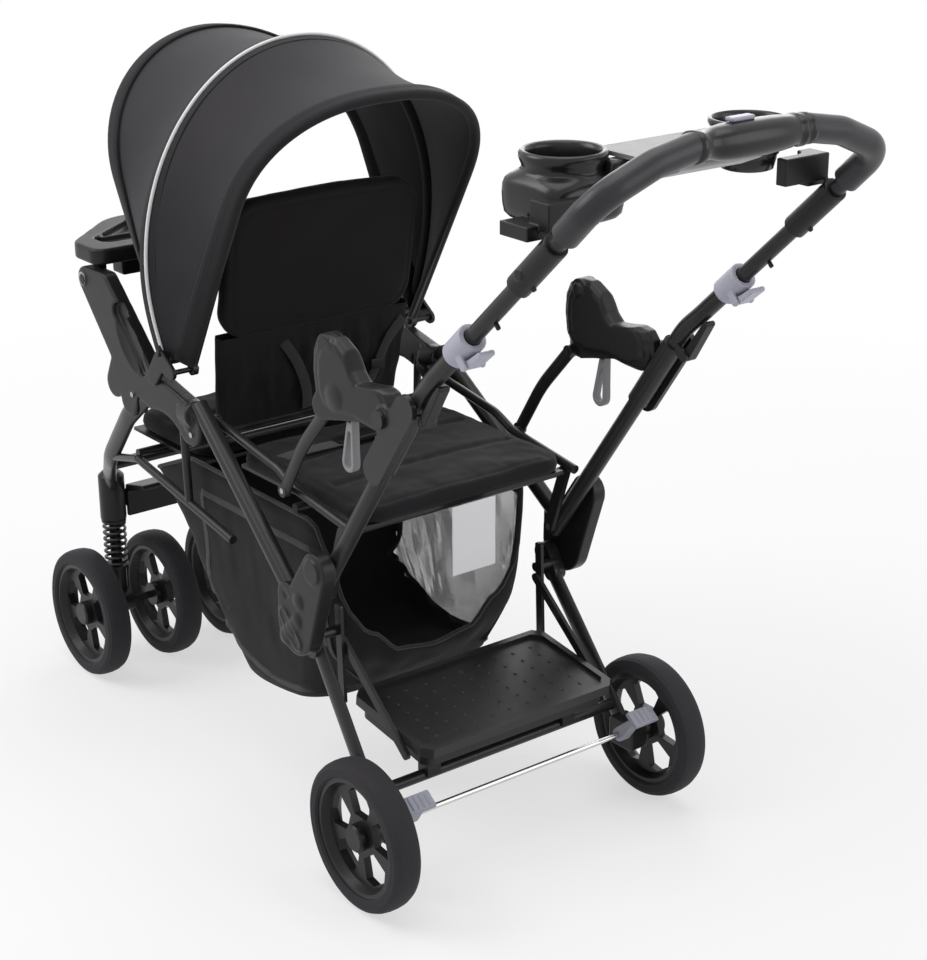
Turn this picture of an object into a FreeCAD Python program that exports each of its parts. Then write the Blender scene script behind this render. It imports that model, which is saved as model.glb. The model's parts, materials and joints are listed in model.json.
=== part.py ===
import FreeCAD, Part
import math
import os
import Sketcher
from FreeCAD import Rotation, Vector

os.makedirs("parts", exist_ok=True)
doc = FreeCAD.newDocument("SitAndStandStroller")
sheet = doc.addObject("Spreadsheet::Sheet", "Sizes")

# The pusher stands behind the stroller. +X is the pusher's left, the child faces -Y, +Z is up.
# Lengths are millimetres and angles are degrees. While the pieces are made, x = 0 is the middle
# plane, y = 0 is the rear axle and z = 0 is the floor.


class Sizes:
    """The values of the sheet, read back for the shapes that are worked out in code."""


d = Sizes()
rows = []
nodes = {}


def sizes(**values):
    for name, value in values.items():
        rows.append(name)
        sheet.set(f"A{len(rows)}", name)
        sheet.set(f"B{len(rows)}", str(value))
        sheet.setAlias(f"B{len(rows)}", name)
    sheet.recompute()
    for name in values:
        setattr(d, name, float(sheet.get(name)))


# Helpers for shapes


def turned(vector, angle):
    """The vector turned about +X by an angle in degrees."""
    return Rotation(Vector(1, 0, 0), angle).multVec(vector)


def side_point(x, y, z, along=0.0, angle=0.0):
    """A place reached from (x, y, z) by going a length along a slope in the side view."""
    slope = math.radians(angle)
    return Vector(x, y + along * math.cos(slope), z + along * math.sin(slope))


def rounded(points, radius, closed=False):
    """A wire of straight runs joined by tangent arcs."""
    count = len(points)
    corners = []
    for i, point in enumerate(points):
        if not closed and i in (0, count - 1):
            corners.append((point, None, point))
            continue
        before = points[i - 1] - point
        after = points[(i + 1) % count] - point
        shorter = min(before.Length, after.Length)
        before.normalize()
        after.normalize()
        half = before.getAngle(after) / 2
        wanted = radius[i] if isinstance(radius, (list, tuple)) else radius
        if wanted <= 0 or half > math.radians(89.9):
            corners.append((point, None, point))
            continue
        reach = min(wanted / math.tan(half), shorter * 0.48)
        size = reach * math.tan(half)
        middle = (before + after).normalize() * (size / math.sin(half) - size)
        corners.append((point + before * reach, point + middle, point + after * reach))
    edges = []
    for i in range(count):
        start, middle, end = corners[i]
        if middle is not None:
            edges.append(Part.Arc(start, middle, end).toShape())
        if i < count - 1 or closed:
            following = corners[(i + 1) % count][0]
            if (following - end).Length > 0:
                edges.append(Part.LineSegment(end, following).toShape())
    return Part.Wire(edges)


def round_bar(points, bend, radius, bore=0.0):
    """A round tube along a route, with a bore where one is asked for."""
    path = rounded(points, bend)
    ahead = points[1] - points[0]
    ring = Part.Wire(Part.makeCircle(radius, points[0], ahead))
    bar = path.makePipeShell([ring], True, False)
    if bore:
        inner = Part.Wire(Part.makeCircle(bore, points[0], ahead))
        bar = bar.cut(path.makePipeShell([inner], True, False))
    return bar


def oval_bar(points, bend, wide, thick, across=Vector(1, 0, 0)):
    """A flattened tube along a route: thick along one direction and wide square to it."""
    path = rounded(points, bend)
    ahead = (points[1] - points[0]).normalize()
    side = (across - ahead * across.dot(ahead)).normalize()
    up = ahead.cross(side).normalize()
    first, second = up * (wide / 2), side * (thick / 2)
    if wide < thick:
        first, second = second, first
    ring = Part.Wire(Part.Ellipse(points[0] + first, points[0] + second, points[0]).toShape())
    return path.makePipeShell([ring], True, False)


def rod(radius, start, end):
    """A round bar from one place to another."""
    along = end - start
    return Part.makeCylinder(radius, along.Length, start, along)


def plate(outline, radius, low, high):
    """An outline of (y, z) places, rounded at its corners, as thick as from x = low to x = high."""
    face = Part.Face(rounded([Vector(low, y, z) for y, z in outline], radius, True))
    return face.extrude(Vector(high - low, 0, 0))


def level_plate(outline, radius, low, high):
    """An outline of (x, y) places, rounded at its corners, from z = low to z = high."""
    face = Part.Face(rounded([Vector(x, y, low) for x, y in outline], radius, True))
    return face.extrude(Vector(0, 0, high - low))


def capsule(first, first_radius, second, second_radius, low, high):
    """Two discs in the side view and the tapered web between them."""
    (ya, za), (yb, zb) = first, second
    one = Part.makeCylinder(first_radius, high - low, Vector(low, ya, za), Vector(1, 0, 0))
    two = Part.makeCylinder(second_radius, high - low, Vector(low, yb, zb), Vector(1, 0, 0))
    gap = math.hypot(yb - ya, zb - za)
    heading = math.atan2(zb - za, yb - ya)
    lean = math.acos((first_radius - second_radius) / gap)
    corners = []
    for y, z, radius, turn in ((ya, za, first_radius, lean), (yb, zb, second_radius, lean),
                               (yb, zb, second_radius, -lean), (ya, za, first_radius, -lean)):
        corners.append((y + radius * math.cos(heading + turn), z + radius * math.sin(heading + turn)))
    return one.fuse([two, plate(corners, 0, low, high)]).removeSplitter()


def softened(shape, radius, keep=lambda edge: True):
    """The shape with the chosen edges rounded."""
    edges = [edge for edge in shape.Edges if keep(edge)]
    return shape.makeFillet(radius, edges)


def on_side_face(*planes):
    """Chooses the edges that lie flat in one of the planes x = value."""
    def keep(edge):
        box = edge.BoundBox
        return any(abs(box.XMin - x) < 1e-4 and abs(box.XMax - x) < 1e-4 for x in planes)
    return keep


def on_level(*planes):
    """Chooses the edges that lie flat in one of the planes z = value."""
    def keep(edge):
        box = edge.BoundBox
        return any(abs(box.ZMin - z) < 1e-4 and abs(box.ZMax - z) < 1e-4 for z in planes)
    return keep


def mirrored(shape):
    """The same piece on the pusher's right."""
    return shape.mirror(Vector(0, 0, 0), Vector(1, 0, 0))


def both(*shapes):
    """The pieces and their mirror images, as separate solids of one node."""
    return list(shapes) + [mirrored(shape) for shape in shapes]


def node(name, *shapes):
    """A node whose solids were worked out in code."""
    solids = []
    for shape in shapes:
        solids += shape.Solids
    item = doc.addObject("Part::Feature", name)
    item.Label = name
    item.Shape = solids[0] if len(solids) == 1 else Part.Compound(solids)
    nodes[name] = item


def keep_node(name, item):
    """A node that is an object with sizes bound to the sheet."""
    item.Label = name
    nodes[name] = item


def bound(kind, name, **expressions):
    """An object whose properties are bound to the sheet."""
    item = doc.addObject(kind, name)
    for path, expression in expressions.items():
        item.setExpression(path.replace("__", "."), expression)
    return item


def joined(name, items):
    item = doc.addObject("Part::MultiFuse", name)
    item.Shapes = items
    return item


def cut_away(name, base, tools):
    """The base without the tools."""
    item = doc.addObject("Part::Cut", name)
    item.Base = base
    item.Tool = tools[0] if len(tools) == 1 else joined(name + "Tools", tools)
    return item


def sketch(body, name, plane, points, closed=True):
    """A sketch whose corners are each held by two expressions, joined by straight lines."""
    drawing = body.newObject("Sketcher::SketchObject", name)
    origin = [part for part in body.Origin.OriginFeatures if part.Role == plane][0]
    drawing.AttachmentSupport = [(origin, "")]
    drawing.MapMode = "FlatFace"
    doc.recompute()
    count = len(points)
    guesses = []
    for across, up in points:
        guesses.append(Vector(value_of(across), value_of(up), 0))
    for i in range(count if closed else count - 1):
        drawing.addGeometry(Part.LineSegment(guesses[i], guesses[(i + 1) % count]), False)
    for i in range(count if closed else count - 1):
        if closed or i < count - 2:
            drawing.addConstraint(Sketcher.Constraint("Coincident", i, 2, (i + 1) % count, 1))
    for i, (across, up) in enumerate(points):
        for kind, expression, guess in (("DistanceX", across, guesses[i].x),
                                        ("DistanceY", up, guesses[i].y)):
            index = drawing.addConstraint(Sketcher.Constraint(kind, -1, 1, i, 1, guess))
            drawing.setExpression(f"Constraints[{index}]", expression)
    return drawing


def value_of(expression):
    """The present value of an expression on the sheet."""
    probe = doc.getObject("Probe") or doc.addObject("App::FeaturePython", "Probe")
    if "Value" not in probe.PropertiesList:
        probe.addProperty("App::PropertyFloat", "Value")
    probe.setExpression("Value", expression)
    probe.recompute()
    return float(probe.Value)


# Clearances and overrun shared by every piece
sizes(runClear=0.08, looseClear=0.4, slipGap=0.3, overrun=2)

# Wheels: a rubber tyre on a moulded rim with five paddle spokes
sizes(wheelRadius=104, tyreWidth=41, tyreDepth=22, tyreShoulder=9, tyreSide=3, rimWidth=33, rimLip=6,
      webThick=11, hubRadius=19, hubLength=37, hubCapThick=5, axleRadius=6, windowCount=5,
      spokeNeck=13, spokeMouth=23, windowInset=9)


def make_tyre(name, radius_alias="wheelRadius"):
    """A solid tyre about the X axis, with a crowned tread and a seat for the rim."""
    body = doc.addObject("PartDesign::Body", name + "Body")
    outer = f"Sizes.{radius_alias}"
    half = "Sizes.tyreWidth / 2"
    inner = f"{outer} - Sizes.tyreDepth"
    points = [
        (f"-({half}) + Sizes.tyreSide", inner),
        (f"{half} - Sizes.tyreSide", inner),
        (half, f"{inner} + Sizes.tyreSide"),
        (half, f"{outer} - Sizes.tyreShoulder"),
        (f"{half} - Sizes.tyreShoulder / 3", f"{outer} - Sizes.tyreShoulder / 2.6"),
        (f"{half} - Sizes.tyreShoulder", f"{outer} - Sizes.tyreShoulder / 9"),
        (f"Sizes.tyreShoulder / 2", outer),
        (f"-Sizes.tyreShoulder / 2", outer),
        (f"-({half}) + Sizes.tyreShoulder", f"{outer} - Sizes.tyreShoulder / 9"),
        (f"-({half}) + Sizes.tyreShoulder / 3", f"{outer} - Sizes.tyreShoulder / 2.6"),
        (f"-({half})", f"{outer} - Sizes.tyreShoulder"),
        (f"-({half})", f"{inner} + Sizes.tyreSide"),
    ]
    section = sketch(body, name + "Section", "XZ_Plane", points)
    turn = body.newObject("PartDesign::Revolution", name + "Turn")
    turn.Profile = section
    turn.ReferenceAxis = (section, ["H_Axis"])
    turn.Angle = 360
    doc.recompute()
    return body


def make_rim(name):
    """A rim about the X axis: the ring, the web with five windows, and the hub with its cap outward."""
    body = doc.addObject("PartDesign::Body", name + "Body")
    seat = "Sizes.wheelRadius - Sizes.tyreDepth"
    lip = f"{seat} - Sizes.rimLip"
    half = "Sizes.rimWidth / 2"
    web = "Sizes.webThick / 2"
    bore = "Sizes.axleRadius + Sizes.runClear"
    outward = "Sizes.hubLength / 2"
    points = [
        (f"-({half})", seat),
        (half, seat),
        (half, lip),
        (web, f"{lip} - Sizes.rimLip"),
        (web, "Sizes.hubRadius"),
        (f"{outward} - Sizes.hubCapThick / 2", "Sizes.hubRadius"),
        (outward, "Sizes.hubRadius - Sizes.hubCapThick / 2"),
        (outward, "0"),
        (f"{outward} - Sizes.hubCapThick", "0"),
        (f"{outward} - Sizes.hubCapThick", bore),
        (f"-({outward})", bore),
        (f"-({outward})", "Sizes.hubRadius"),
        (f"-({web})", "Sizes.hubRadius"),
        (f"-({web})", f"{lip} - Sizes.rimLip"),
        (f"-({half})", lip),
    ]
    section = sketch(body, name + "Section", "XZ_Plane", points)
    turn = body.newObject("PartDesign::Revolution", name + "Turn")
    turn.Profile = section
    turn.ReferenceAxis = (section, ["H_Axis"])
    turn.Angle = 360
    doc.recompute()
    spread = "tan(180 / Sizes.windowCount)"
    low = "Sizes.hubRadius + Sizes.windowInset"
    high = f"{lip} - Sizes.rimLip - Sizes.windowInset / 3"
    window = [
        (f"-(({low}) * {spread} - Sizes.spokeNeck / 2)", low),
        (f"({low}) * {spread} - Sizes.spokeNeck / 2", low),
        (f"({high}) * {spread} - Sizes.spokeMouth", f"({high}) * 0.82"),
        (f"({high}) * {spread} - Sizes.spokeMouth * 1.5", high),
        (f"-(({high}) * {spread} - Sizes.spokeMouth * 1.5)", high),
        (f"-(({high}) * {spread} - Sizes.spokeMouth)", f"({high}) * 0.82"),
    ]
    opening = sketch(body, name + "Window", "YZ_Plane", window)
    pocket = body.newObject("PartDesign::Pocket", name + "Pocket")
    pocket.Profile = opening
    pocket.Type = "ThroughAll"
    pocket.Midplane = True
    doc.recompute()
    pattern = body.newObject("PartDesign::PolarPattern", name + "Windows")
    pattern.Originals = [pocket]
    pattern.Axis = (section, ["H_Axis"])
    pattern.Angle = 360
    pattern.setExpression("Occurrences", "Sizes.windowCount")
    body.Tip = pattern
    doc.recompute()
    return body


tyre = make_tyre("tyre")
rim = make_rim("rim")


def wheel_pieces(body, x, y, flip=False):
    """A copy of a wheel piece moved to its axle, with the hub cap outward."""
    shape = body.Shape.copy()
    if flip:
        shape = mirrored(shape)
    return shape.translated(Vector(x, y, d.wheelRadius))


# Rear wheels and the legs that carry them
sizes(rearTrack=499, wheelbase=851)
halfTrack = d.rearTrack / 2
for side, sign in (("left", 1), ("right", -1)):
    node(f"rear_tyre_{side}", wheel_pieces(tyre, sign * halfTrack, 0, sign < 0))
    node(f"rear_rim_{side}", wheel_pieces(rim, sign * halfTrack, 0, sign < 0))

# Fold joint: a moulded cover on each side, with one pin for the handle tube and one for the rear leg
sizes(handlePinY=-152.5, handlePinZ=379, legPinY=-181, legPinZ=325, foldPinRadius=5, lowerTubeX=206,
      handleTubeX=213.5, handleTubeRadius=11.7, legLugThick=19, coverGap=1.8, coverThick=21.5,
      coverTopY=-116, coverTopZ=434, coverTopRadius=25, coverLowY=-164, coverLowZ=339,
      coverLowRadius=40, coverFrontY=-184, coverFrontZ=378, coverFrontRadius=19, badgeY=-172,
      badgeZ=334, badgeLong=64, badgeWide=20, badgeRim=2.5, badgeRaise=2.5, badgeSlope=-47)
coverLow = d.lowerTubeX + d.handleTubeRadius + d.coverGap
coverHigh = coverLow + d.coverThick
lugHigh = coverLow - d.coverGap
lugLow = lugHigh - d.legLugThick
handlePin = (d.handlePinY, d.handlePinZ)
legPin = (d.legPinY, d.legPinZ)

# Lower side tubes, from the side panels down into the fold covers
sizes(sideTubeTopX=210, sideTubeLowX=228.5, sideTubeRadius=12, sideTubeTopY=-436, sideTubeTopZ=570,
      sideTubeLowY=-178, sideTubeLowZ=376)
sideTop = Vector(d.sideTubeTopX, d.sideTubeTopY, d.sideTubeTopZ)
sideLow = Vector(d.sideTubeLowX, d.sideTubeLowY, d.sideTubeLowZ)
side_tube = rod(d.sideTubeRadius, sideTop, sideLow)
node("side_tubes", *both(side_tube))

coverTop = (d.coverTopY, d.coverTopZ)
coverBase = (d.coverLowY, d.coverLowZ)
cover = capsule(coverTop, d.coverTopRadius, coverBase, d.coverLowRadius, coverLow, coverHigh)
cover = cover.fuse(capsule((d.coverFrontY, d.coverFrontZ), d.coverFrontRadius, coverBase, d.coverLowRadius,
                           coverLow, coverHigh))
cover = cover.removeSplitter()
badgeSlope = math.radians(d.badgeSlope)
badgeReach = (d.badgeLong - d.badgeWide) / 2
badgeEnds = [(d.badgeY + sign * badgeReach * math.cos(badgeSlope),
              d.badgeZ + sign * badgeReach * math.sin(badgeSlope)) for sign in (1, -1)]
badge = capsule(badgeEnds[0], d.badgeWide / 2, badgeEnds[1], d.badgeWide / 2 - 1e-3 * d.badgeWide,
                coverHigh, coverHigh + d.badgeRaise)
badge = badge.cut(capsule(badgeEnds[0], d.badgeWide / 2 - d.badgeRim, badgeEnds[1],
                          d.badgeWide / 2 - d.badgeRim * 1.01, coverHigh + d.badgeRaise / 2,
                          coverHigh + d.badgeRaise + d.overrun))
cover = cover.fuse(badge)
cover = cover.cut(side_tube)
pinLow = d.lowerTubeX - d.handleTubeRadius - d.coverGap
pinHigh = coverHigh - d.coverThick / 3
handle_pin = rod(d.foldPinRadius, Vector(pinLow, *handlePin), Vector(pinHigh, *handlePin))
leg_pin = rod(d.foldPinRadius, Vector(lugLow - d.coverGap, *legPin), Vector(pinHigh, *legPin))
cover = cover.cut([handle_pin, leg_pin])
node("fold_covers", *both(cover))

# Rear legs: flat oval tubes from the fold joint to the axle, a cross tube, and the platform's hangers
sizes(legTopX=203.5, legFootX=215, legFootY=-9, legWide=28, legThick=14, legLugRadius=16, legClear=30,
      crossY=-33, crossZ=137, crossRadius=8, hangerX=174, hangerTopY=-157, hangerTopZ=356,
      hangerLowY=-152, hangerLowZ=212, hangerWide=13, hangerThick=5, braceY=-163, braceZ=316,
      braceRadius=7, linkThick=7, linkLow=185.5, strutX=168.4, strutTopZ=303, strutFootY=-16,
      strutFootZ=187, strutWide=13)
legTop = Vector(d.legTopX, *legPin)
legFoot = Vector(d.legFootX, d.legFootY, d.wheelRadius)
legAlong = (legFoot - legTop).normalize()
legStart = legTop + legAlong * d.legClear
leg = oval_bar([legStart, legFoot], 0, d.legWide, d.legThick)
lug = capsule(legPin, d.legLugRadius, (legStart.y, legStart.z), d.legWide / 2 - d.slipGap, lugLow, lugHigh)
lugBore = rod(d.foldPinRadius + d.runClear, Vector(lugLow - d.overrun, *legPin),
              Vector(lugHigh + d.overrun, *legPin))
leg = leg.fuse(lug).cut(lugBore).removeSplitter()
footEye = rod(d.legWide / 2, Vector(d.legFootX - d.legThick / 2, 0, d.wheelRadius),
              Vector(d.legFootX + d.legThick / 2, 0, d.wheelRadius))
leg = leg.fuse(footEye)
stubReach = halfTrack + d.hubLength / 2 - d.hubCapThick - d.looseClear
axle = rod(d.axleRadius, Vector(d.legFootX - d.legThick, 0, d.wheelRadius),
           Vector(stubReach, 0, d.wheelRadius))
leg = leg.cut(axle)
crossHalf = d.legFootX + 3
cross_tube = rod(d.crossRadius, Vector(-crossHalf, d.crossY, d.crossZ),
                 Vector(crossHalf, d.crossY, d.crossZ))
leg = leg.cut(cross_tube)
hangerLow = d.hangerX - d.hangerThick / 2
hangerHigh = d.hangerX + d.hangerThick / 2
hanger = plate([(d.hangerTopY - d.hangerWide / 2, d.hangerTopZ),
                (d.hangerTopY + d.hangerWide / 2, d.hangerTopZ),
                (d.hangerLowY + d.hangerWide / 2, d.hangerLowZ),
                (d.hangerLowY - d.hangerWide / 2, d.hangerLowZ)],
               d.hangerWide / 3, hangerLow, hangerHigh)
brace = rod(d.braceRadius, Vector(hangerLow, d.braceY, d.braceZ),
            Vector(lugHigh - d.legThick / 2, d.braceY, d.braceZ))
hanger = hanger.fuse(brace).cut(leg).removeSplitter()
hanger = max(hanger.Solids, key=lambda solid: solid.Volume)
strut = capsule((d.hangerTopY, d.strutTopZ), d.strutWide / 2, (d.strutFootY, d.strutFootZ),
                d.strutWide / 2 - d.slipGap, d.strutX - d.hangerThick / 2, hangerLow)
node("rear_leg_frame", *both(leg, hanger, strut), cross_tube)

# Standing platform: a moulded tray on a lower shell, tilted down to the rear
sizes(platformHalf=165, platformDepth=172, platformThick=14, platformRearY=24, platformRearZ=206,
      platformTilt=-7.5, platformCorner=26, platformRim=9, platformRecess=5, dimpleRadius=3, dimpleRise=1.4,
      dimpleColumns=9, dimpleRows=6, shellDrop=20, shellInset=10, saddleHalf=11, saddleX=118)
platformBody = doc.addObject("PartDesign::Body", "platformBody")


def corner_cut_outline(half, low, high, corner):
    """A rectangle with cut corners, as expressions."""
    return [(f"-({half}) + {corner}", low), (f"{half} - {corner}", low),
            (f"{half}", f"{low} + {corner}"), (f"{half}", f"{high} - {corner}"),
            (f"{half} - {corner}", high), (f"-({half}) + {corner}", high),
            (f"-({half})", f"{high} - {corner}"), (f"-({half})", f"{low} + {corner}")]


deckSketch = sketch(platformBody, "deckOutline", "XY_Plane",
                    corner_cut_outline("Sizes.platformHalf", "-Sizes.platformDepth",
                                       "0 * Sizes.platformDepth",
                                       "Sizes.platformCorner / 2"))
deckPad = platformBody.newObject("PartDesign::Pad", "deckPad")
deckPad.Profile = deckSketch
deckPad.setExpression("Length", "Sizes.platformThick")
deckPad.Reversed = True
doc.recompute()
recessSketch = sketch(platformBody, "recessOutline", "XY_Plane",
                      corner_cut_outline("Sizes.platformHalf - Sizes.platformRim",
                                         "-Sizes.platformDepth + Sizes.platformRim", "-Sizes.platformRim",
                                         "Sizes.platformCorner / 2"))
recessPocket = platformBody.newObject("PartDesign::Pocket", "deckRecess")
recessPocket.Profile = recessSketch
recessPocket.setExpression("Length", "Sizes.platformRecess")
doc.recompute()
platformBody.Tip = recessPocket
doc.recompute()
deck = platformBody.Shape.copy()
floorZ = -d.platformRecess
stepX = 2 * (d.platformHalf - d.platformRim) / (d.dimpleColumns + 1)
stepY = (d.platformDepth - 2 * d.platformRim) / (d.dimpleRows + 1)
dimples = []
for row in range(int(d.dimpleRows)):
    for column in range(int(d.dimpleColumns)):
        x = -d.platformHalf + d.platformRim + stepX * (column + 1)
        y = -d.platformRim - stepY * (row + 1)
        dimples.append(Part.makeCone(d.dimpleRadius, d.dimpleRadius / 2, d.dimpleRise,
                                     Vector(x, y, floorZ)))
deck = deck.fuse(dimples)
shellHalf = d.platformHalf - d.shellInset
shellTop = [(-shellHalf, -d.shellInset), (shellHalf, -d.shellInset),
            (shellHalf, d.shellInset - d.platformDepth), (-shellHalf, d.shellInset - d.platformDepth)]
shell = level_plate(shellTop, d.platformCorner - d.shellInset, -d.platformThick - d.shellDrop,
                    -d.platformThick)
shellWall = d.platformRim / 3
hollowHalf = shellHalf - shellWall
hollow = level_plate([(-hollowHalf, -d.shellInset - shellWall), (hollowHalf, -d.shellInset - shellWall),
                      (hollowHalf, d.shellInset + shellWall - d.platformDepth),
                      (-hollowHalf, d.shellInset + shellWall - d.platformDepth)],
                     d.platformCorner - d.shellInset - shellWall,
                     -d.platformThick - d.shellDrop - d.overrun,
                     -d.platformThick - shellWall)
shell = shell.cut(hollow)
platformPlace = FreeCAD.Placement(Vector(0, d.platformRearY, d.platformRearZ),
                                  Rotation(Vector(1, 0, 0), d.platformTilt))
deck = deck.transformed(platformPlace.toMatrix())
shell = shell.transformed(platformPlace.toMatrix())
underZ = d.platformRearZ - d.platformThick - shellWall
for sign in (1, -1):
    saddle = Part.makeBox(2 * d.saddleHalf, 2 * d.saddleHalf, underZ - d.crossZ,
                          Vector(sign * d.saddleX - d.saddleHalf, d.crossY - d.saddleHalf, d.crossZ))
    shell = shell.fuse(saddle)
deckBlock = level_plate([(-d.platformHalf, 0), (d.platformHalf, 0), (d.platformHalf, -d.platformDepth),
                         (-d.platformHalf, -d.platformDepth)], 0, -d.platformThick, 0)
deckBlock = deckBlock.transformed(platformPlace.toMatrix())
shell = shell.cut([cross_tube, deckBlock])
node("standing_platform", deck)
node("platform_shell", shell)

# Rear brake: a housing on each leg, a chrome rod through both, and a pedal at each end
sizes(rodY=14, rodZ=116, rodRadius=4, housingLow=196, housingHigh=225, housingFront=-24, housingRear=26,
      housingBottom=86, housingTop=128, housingRound=7, pedalLow=178, pedalHigh=195.6, pedalEye=10,
      padY=46, padZ=152, padLow=174, padHigh=216, padThick=7, padLong=26, padTilt=-35, ribCount=4,
      ribThick=1.6, ribRise=2.2)
housing = plate([(d.housingFront, d.housingBottom), (d.housingRear, d.housingBottom),
                 (d.housingRear, d.housingTop), (d.housingFront, d.housingTop)], d.housingRound,
                d.housingLow, d.housingHigh)
rodHalf = d.housingLow + (d.housingHigh - d.housingLow) / 2
brake_rod = rod(d.rodRadius, Vector(-rodHalf, d.rodY, d.rodZ), Vector(rodHalf, d.rodY, d.rodZ))
rodBore = rod(d.rodRadius + d.runClear, Vector(0, d.rodY, d.rodZ),
              Vector(rodHalf + d.looseClear, d.rodY, d.rodZ))
housing = housing.cut([leg, axle, cross_tube, rodBore])
housing = max(housing.Solids, key=lambda solid: solid.Volume)
node("brake_housings", *both(housing, axle))
node("brake_rod", brake_rod)
eye = rod(d.pedalEye, Vector(d.pedalLow, d.rodY, d.rodZ), Vector(d.pedalHigh, d.rodY, d.rodZ))
pad = plate([(-d.padLong / 2, -d.padThick / 2), (d.padLong / 2, -d.padThick / 2),
             (d.padLong / 2, d.padThick / 2), (-d.padLong / 2, d.padThick / 2)], d.padThick / 3,
            d.padLow, d.padHigh)
ribStep = (d.padHigh - d.padLow) / (d.ribCount + 1)
for i in range(int(d.ribCount)):
    rib = Part.makeBox(d.ribThick, d.padLong - d.padThick, d.ribRise,
                       Vector(d.padLow + ribStep * (i + 1), (d.padThick - d.padLong) / 2, d.padThick / 2))
    pad = pad.fuse(rib)
padPlace = FreeCAD.Placement(Vector(0, d.padY, d.padZ), Rotation(Vector(1, 0, 0), d.padTilt))
pad = pad.transformed(padPlace.toMatrix())
arm = capsule((d.rodY, d.rodZ), d.pedalEye, (d.padY, d.padZ), d.padThick / 2, d.pedalLow, d.pedalHigh)
pedal = eye.fuse([arm, pad]).cut(brake_rod).removeSplitter()
node("brake_pedals", *both(pedal))

# Side panels: the arched casting on each side, its arm up to the tray and the recess in the arm
sizes(panelLow=200, panelThick=22, panelEdge=3, armTipY=-733, armTipZ=690, armTipRadius=19,
      armTopY=-678, armTopZ=692, armTopRadius=18, elbowY=-614, elbowZ=594, elbowRadius=43,
      archY=-560, archZ=566, archRadius=30, tailY=-448, tailZ=540, tailRadius=31, lugY=-661, lugZ=548,
      lugRadius=22, rootY=-618, rootZ=532, rootRadius=24, archCutY=-526, archCutZ=456, archCutRadius=83,
      recessTopY=-636, recessTopZ=662, recessLowY=-574, recessLowZ=590, recessRadius=13, recessDepth=8)
panelHigh = d.panelLow + d.panelThick
armTip = (d.armTipY, d.armTipZ)
armTop = (d.armTopY, d.armTopZ)
elbow = (d.elbowY, d.elbowZ)
arch = (d.archY, d.archZ)
tail = (d.tailY, d.tailZ)
panelSpans = [(armTip, d.armTipRadius, elbow, d.elbowRadius),
              (armTip, d.armTipRadius, armTop, d.armTopRadius),
              (armTop, d.armTopRadius, arch, d.archRadius), (elbow, d.elbowRadius, arch, d.archRadius),
              (arch, d.archRadius, tail, d.tailRadius),
              ((d.rootY, d.rootZ), d.rootRadius, elbow, d.elbowRadius),
              ((d.lugY, d.lugZ), d.lugRadius, elbow, d.elbowRadius)]
panel = None
for first, firstRadius, second, secondRadius in panelSpans:
    span = capsule(first, firstRadius, second, secondRadius, d.panelLow, panelHigh)
    panel = span if panel is None else panel.fuse(span)
panel = panel.removeSplitter()
panel = panel.cut(rod(d.archCutRadius, Vector(d.panelLow - d.overrun, d.archCutY, d.archCutZ),
                      Vector(panelHigh + d.overrun, d.archCutY, d.archCutZ)))
panel = max(panel.Solids, key=lambda solid: solid.Volume)
panel = softened(panel, d.panelEdge, on_side_face(panelHigh))
recess = capsule((d.recessTopY, d.recessTopZ), d.recessRadius, (d.recessLowY, d.recessLowZ),
                 d.recessRadius - d.panelEdge, panelHigh - d.recessDepth, panelHigh + d.overrun)
panel = panel.cut(recess)

# Front legs: flat oval tubes that curve down and in from the panels to the strut barrels
sizes(legRootX=211, legRootY=-582, legRootZ=547, legKneeX=208, legKneeY=-648, legKneeZ=497, legShinX=188,
      legShinY=-752, legShinZ=399, legEndX=142, legEndY=-848, legEndZ=332, frontLegWide=31,
      frontLegThick=19, frontLegBend=170, barrelX=126, barrelY=-876, barrelRadius=21, barrelBottom=243,
      barrelTop=318, barrelDome=7)
frontLeg = oval_bar([Vector(d.legRootX, d.legRootY, d.legRootZ), Vector(d.legKneeX, d.legKneeY, d.legKneeZ),
                     Vector(d.legShinX, d.legShinY, d.legShinZ), Vector(d.legEndX, d.legEndY, d.legEndZ),
                     Vector(d.barrelX, d.barrelY, d.barrelTop - d.barrelRadius)],
                    [0, d.frontLegBend, d.frontLegBend, d.barrelRadius, 0], d.frontLegWide, d.frontLegThick)
barrelShell = bound("Part::Cylinder", "barrelShell", Radius="Sizes.barrelRadius",
                    Height="Sizes.barrelTop - Sizes.barrelBottom", Placement__Base__x="Sizes.barrelX",
                    Placement__Base__y="Sizes.barrelY", Placement__Base__z="Sizes.barrelBottom")
barrelCap = bound("Part::Cone", "barrelCap", Radius1="Sizes.barrelRadius",
                  Radius2="Sizes.barrelRadius - Sizes.barrelDome", Height="Sizes.barrelDome",
                  Placement__Base__x="Sizes.barrelX", Placement__Base__y="Sizes.barrelY",
                  Placement__Base__z="Sizes.barrelTop")
barrelWhole = joined("barrelWhole", [barrelShell, barrelCap])

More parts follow.
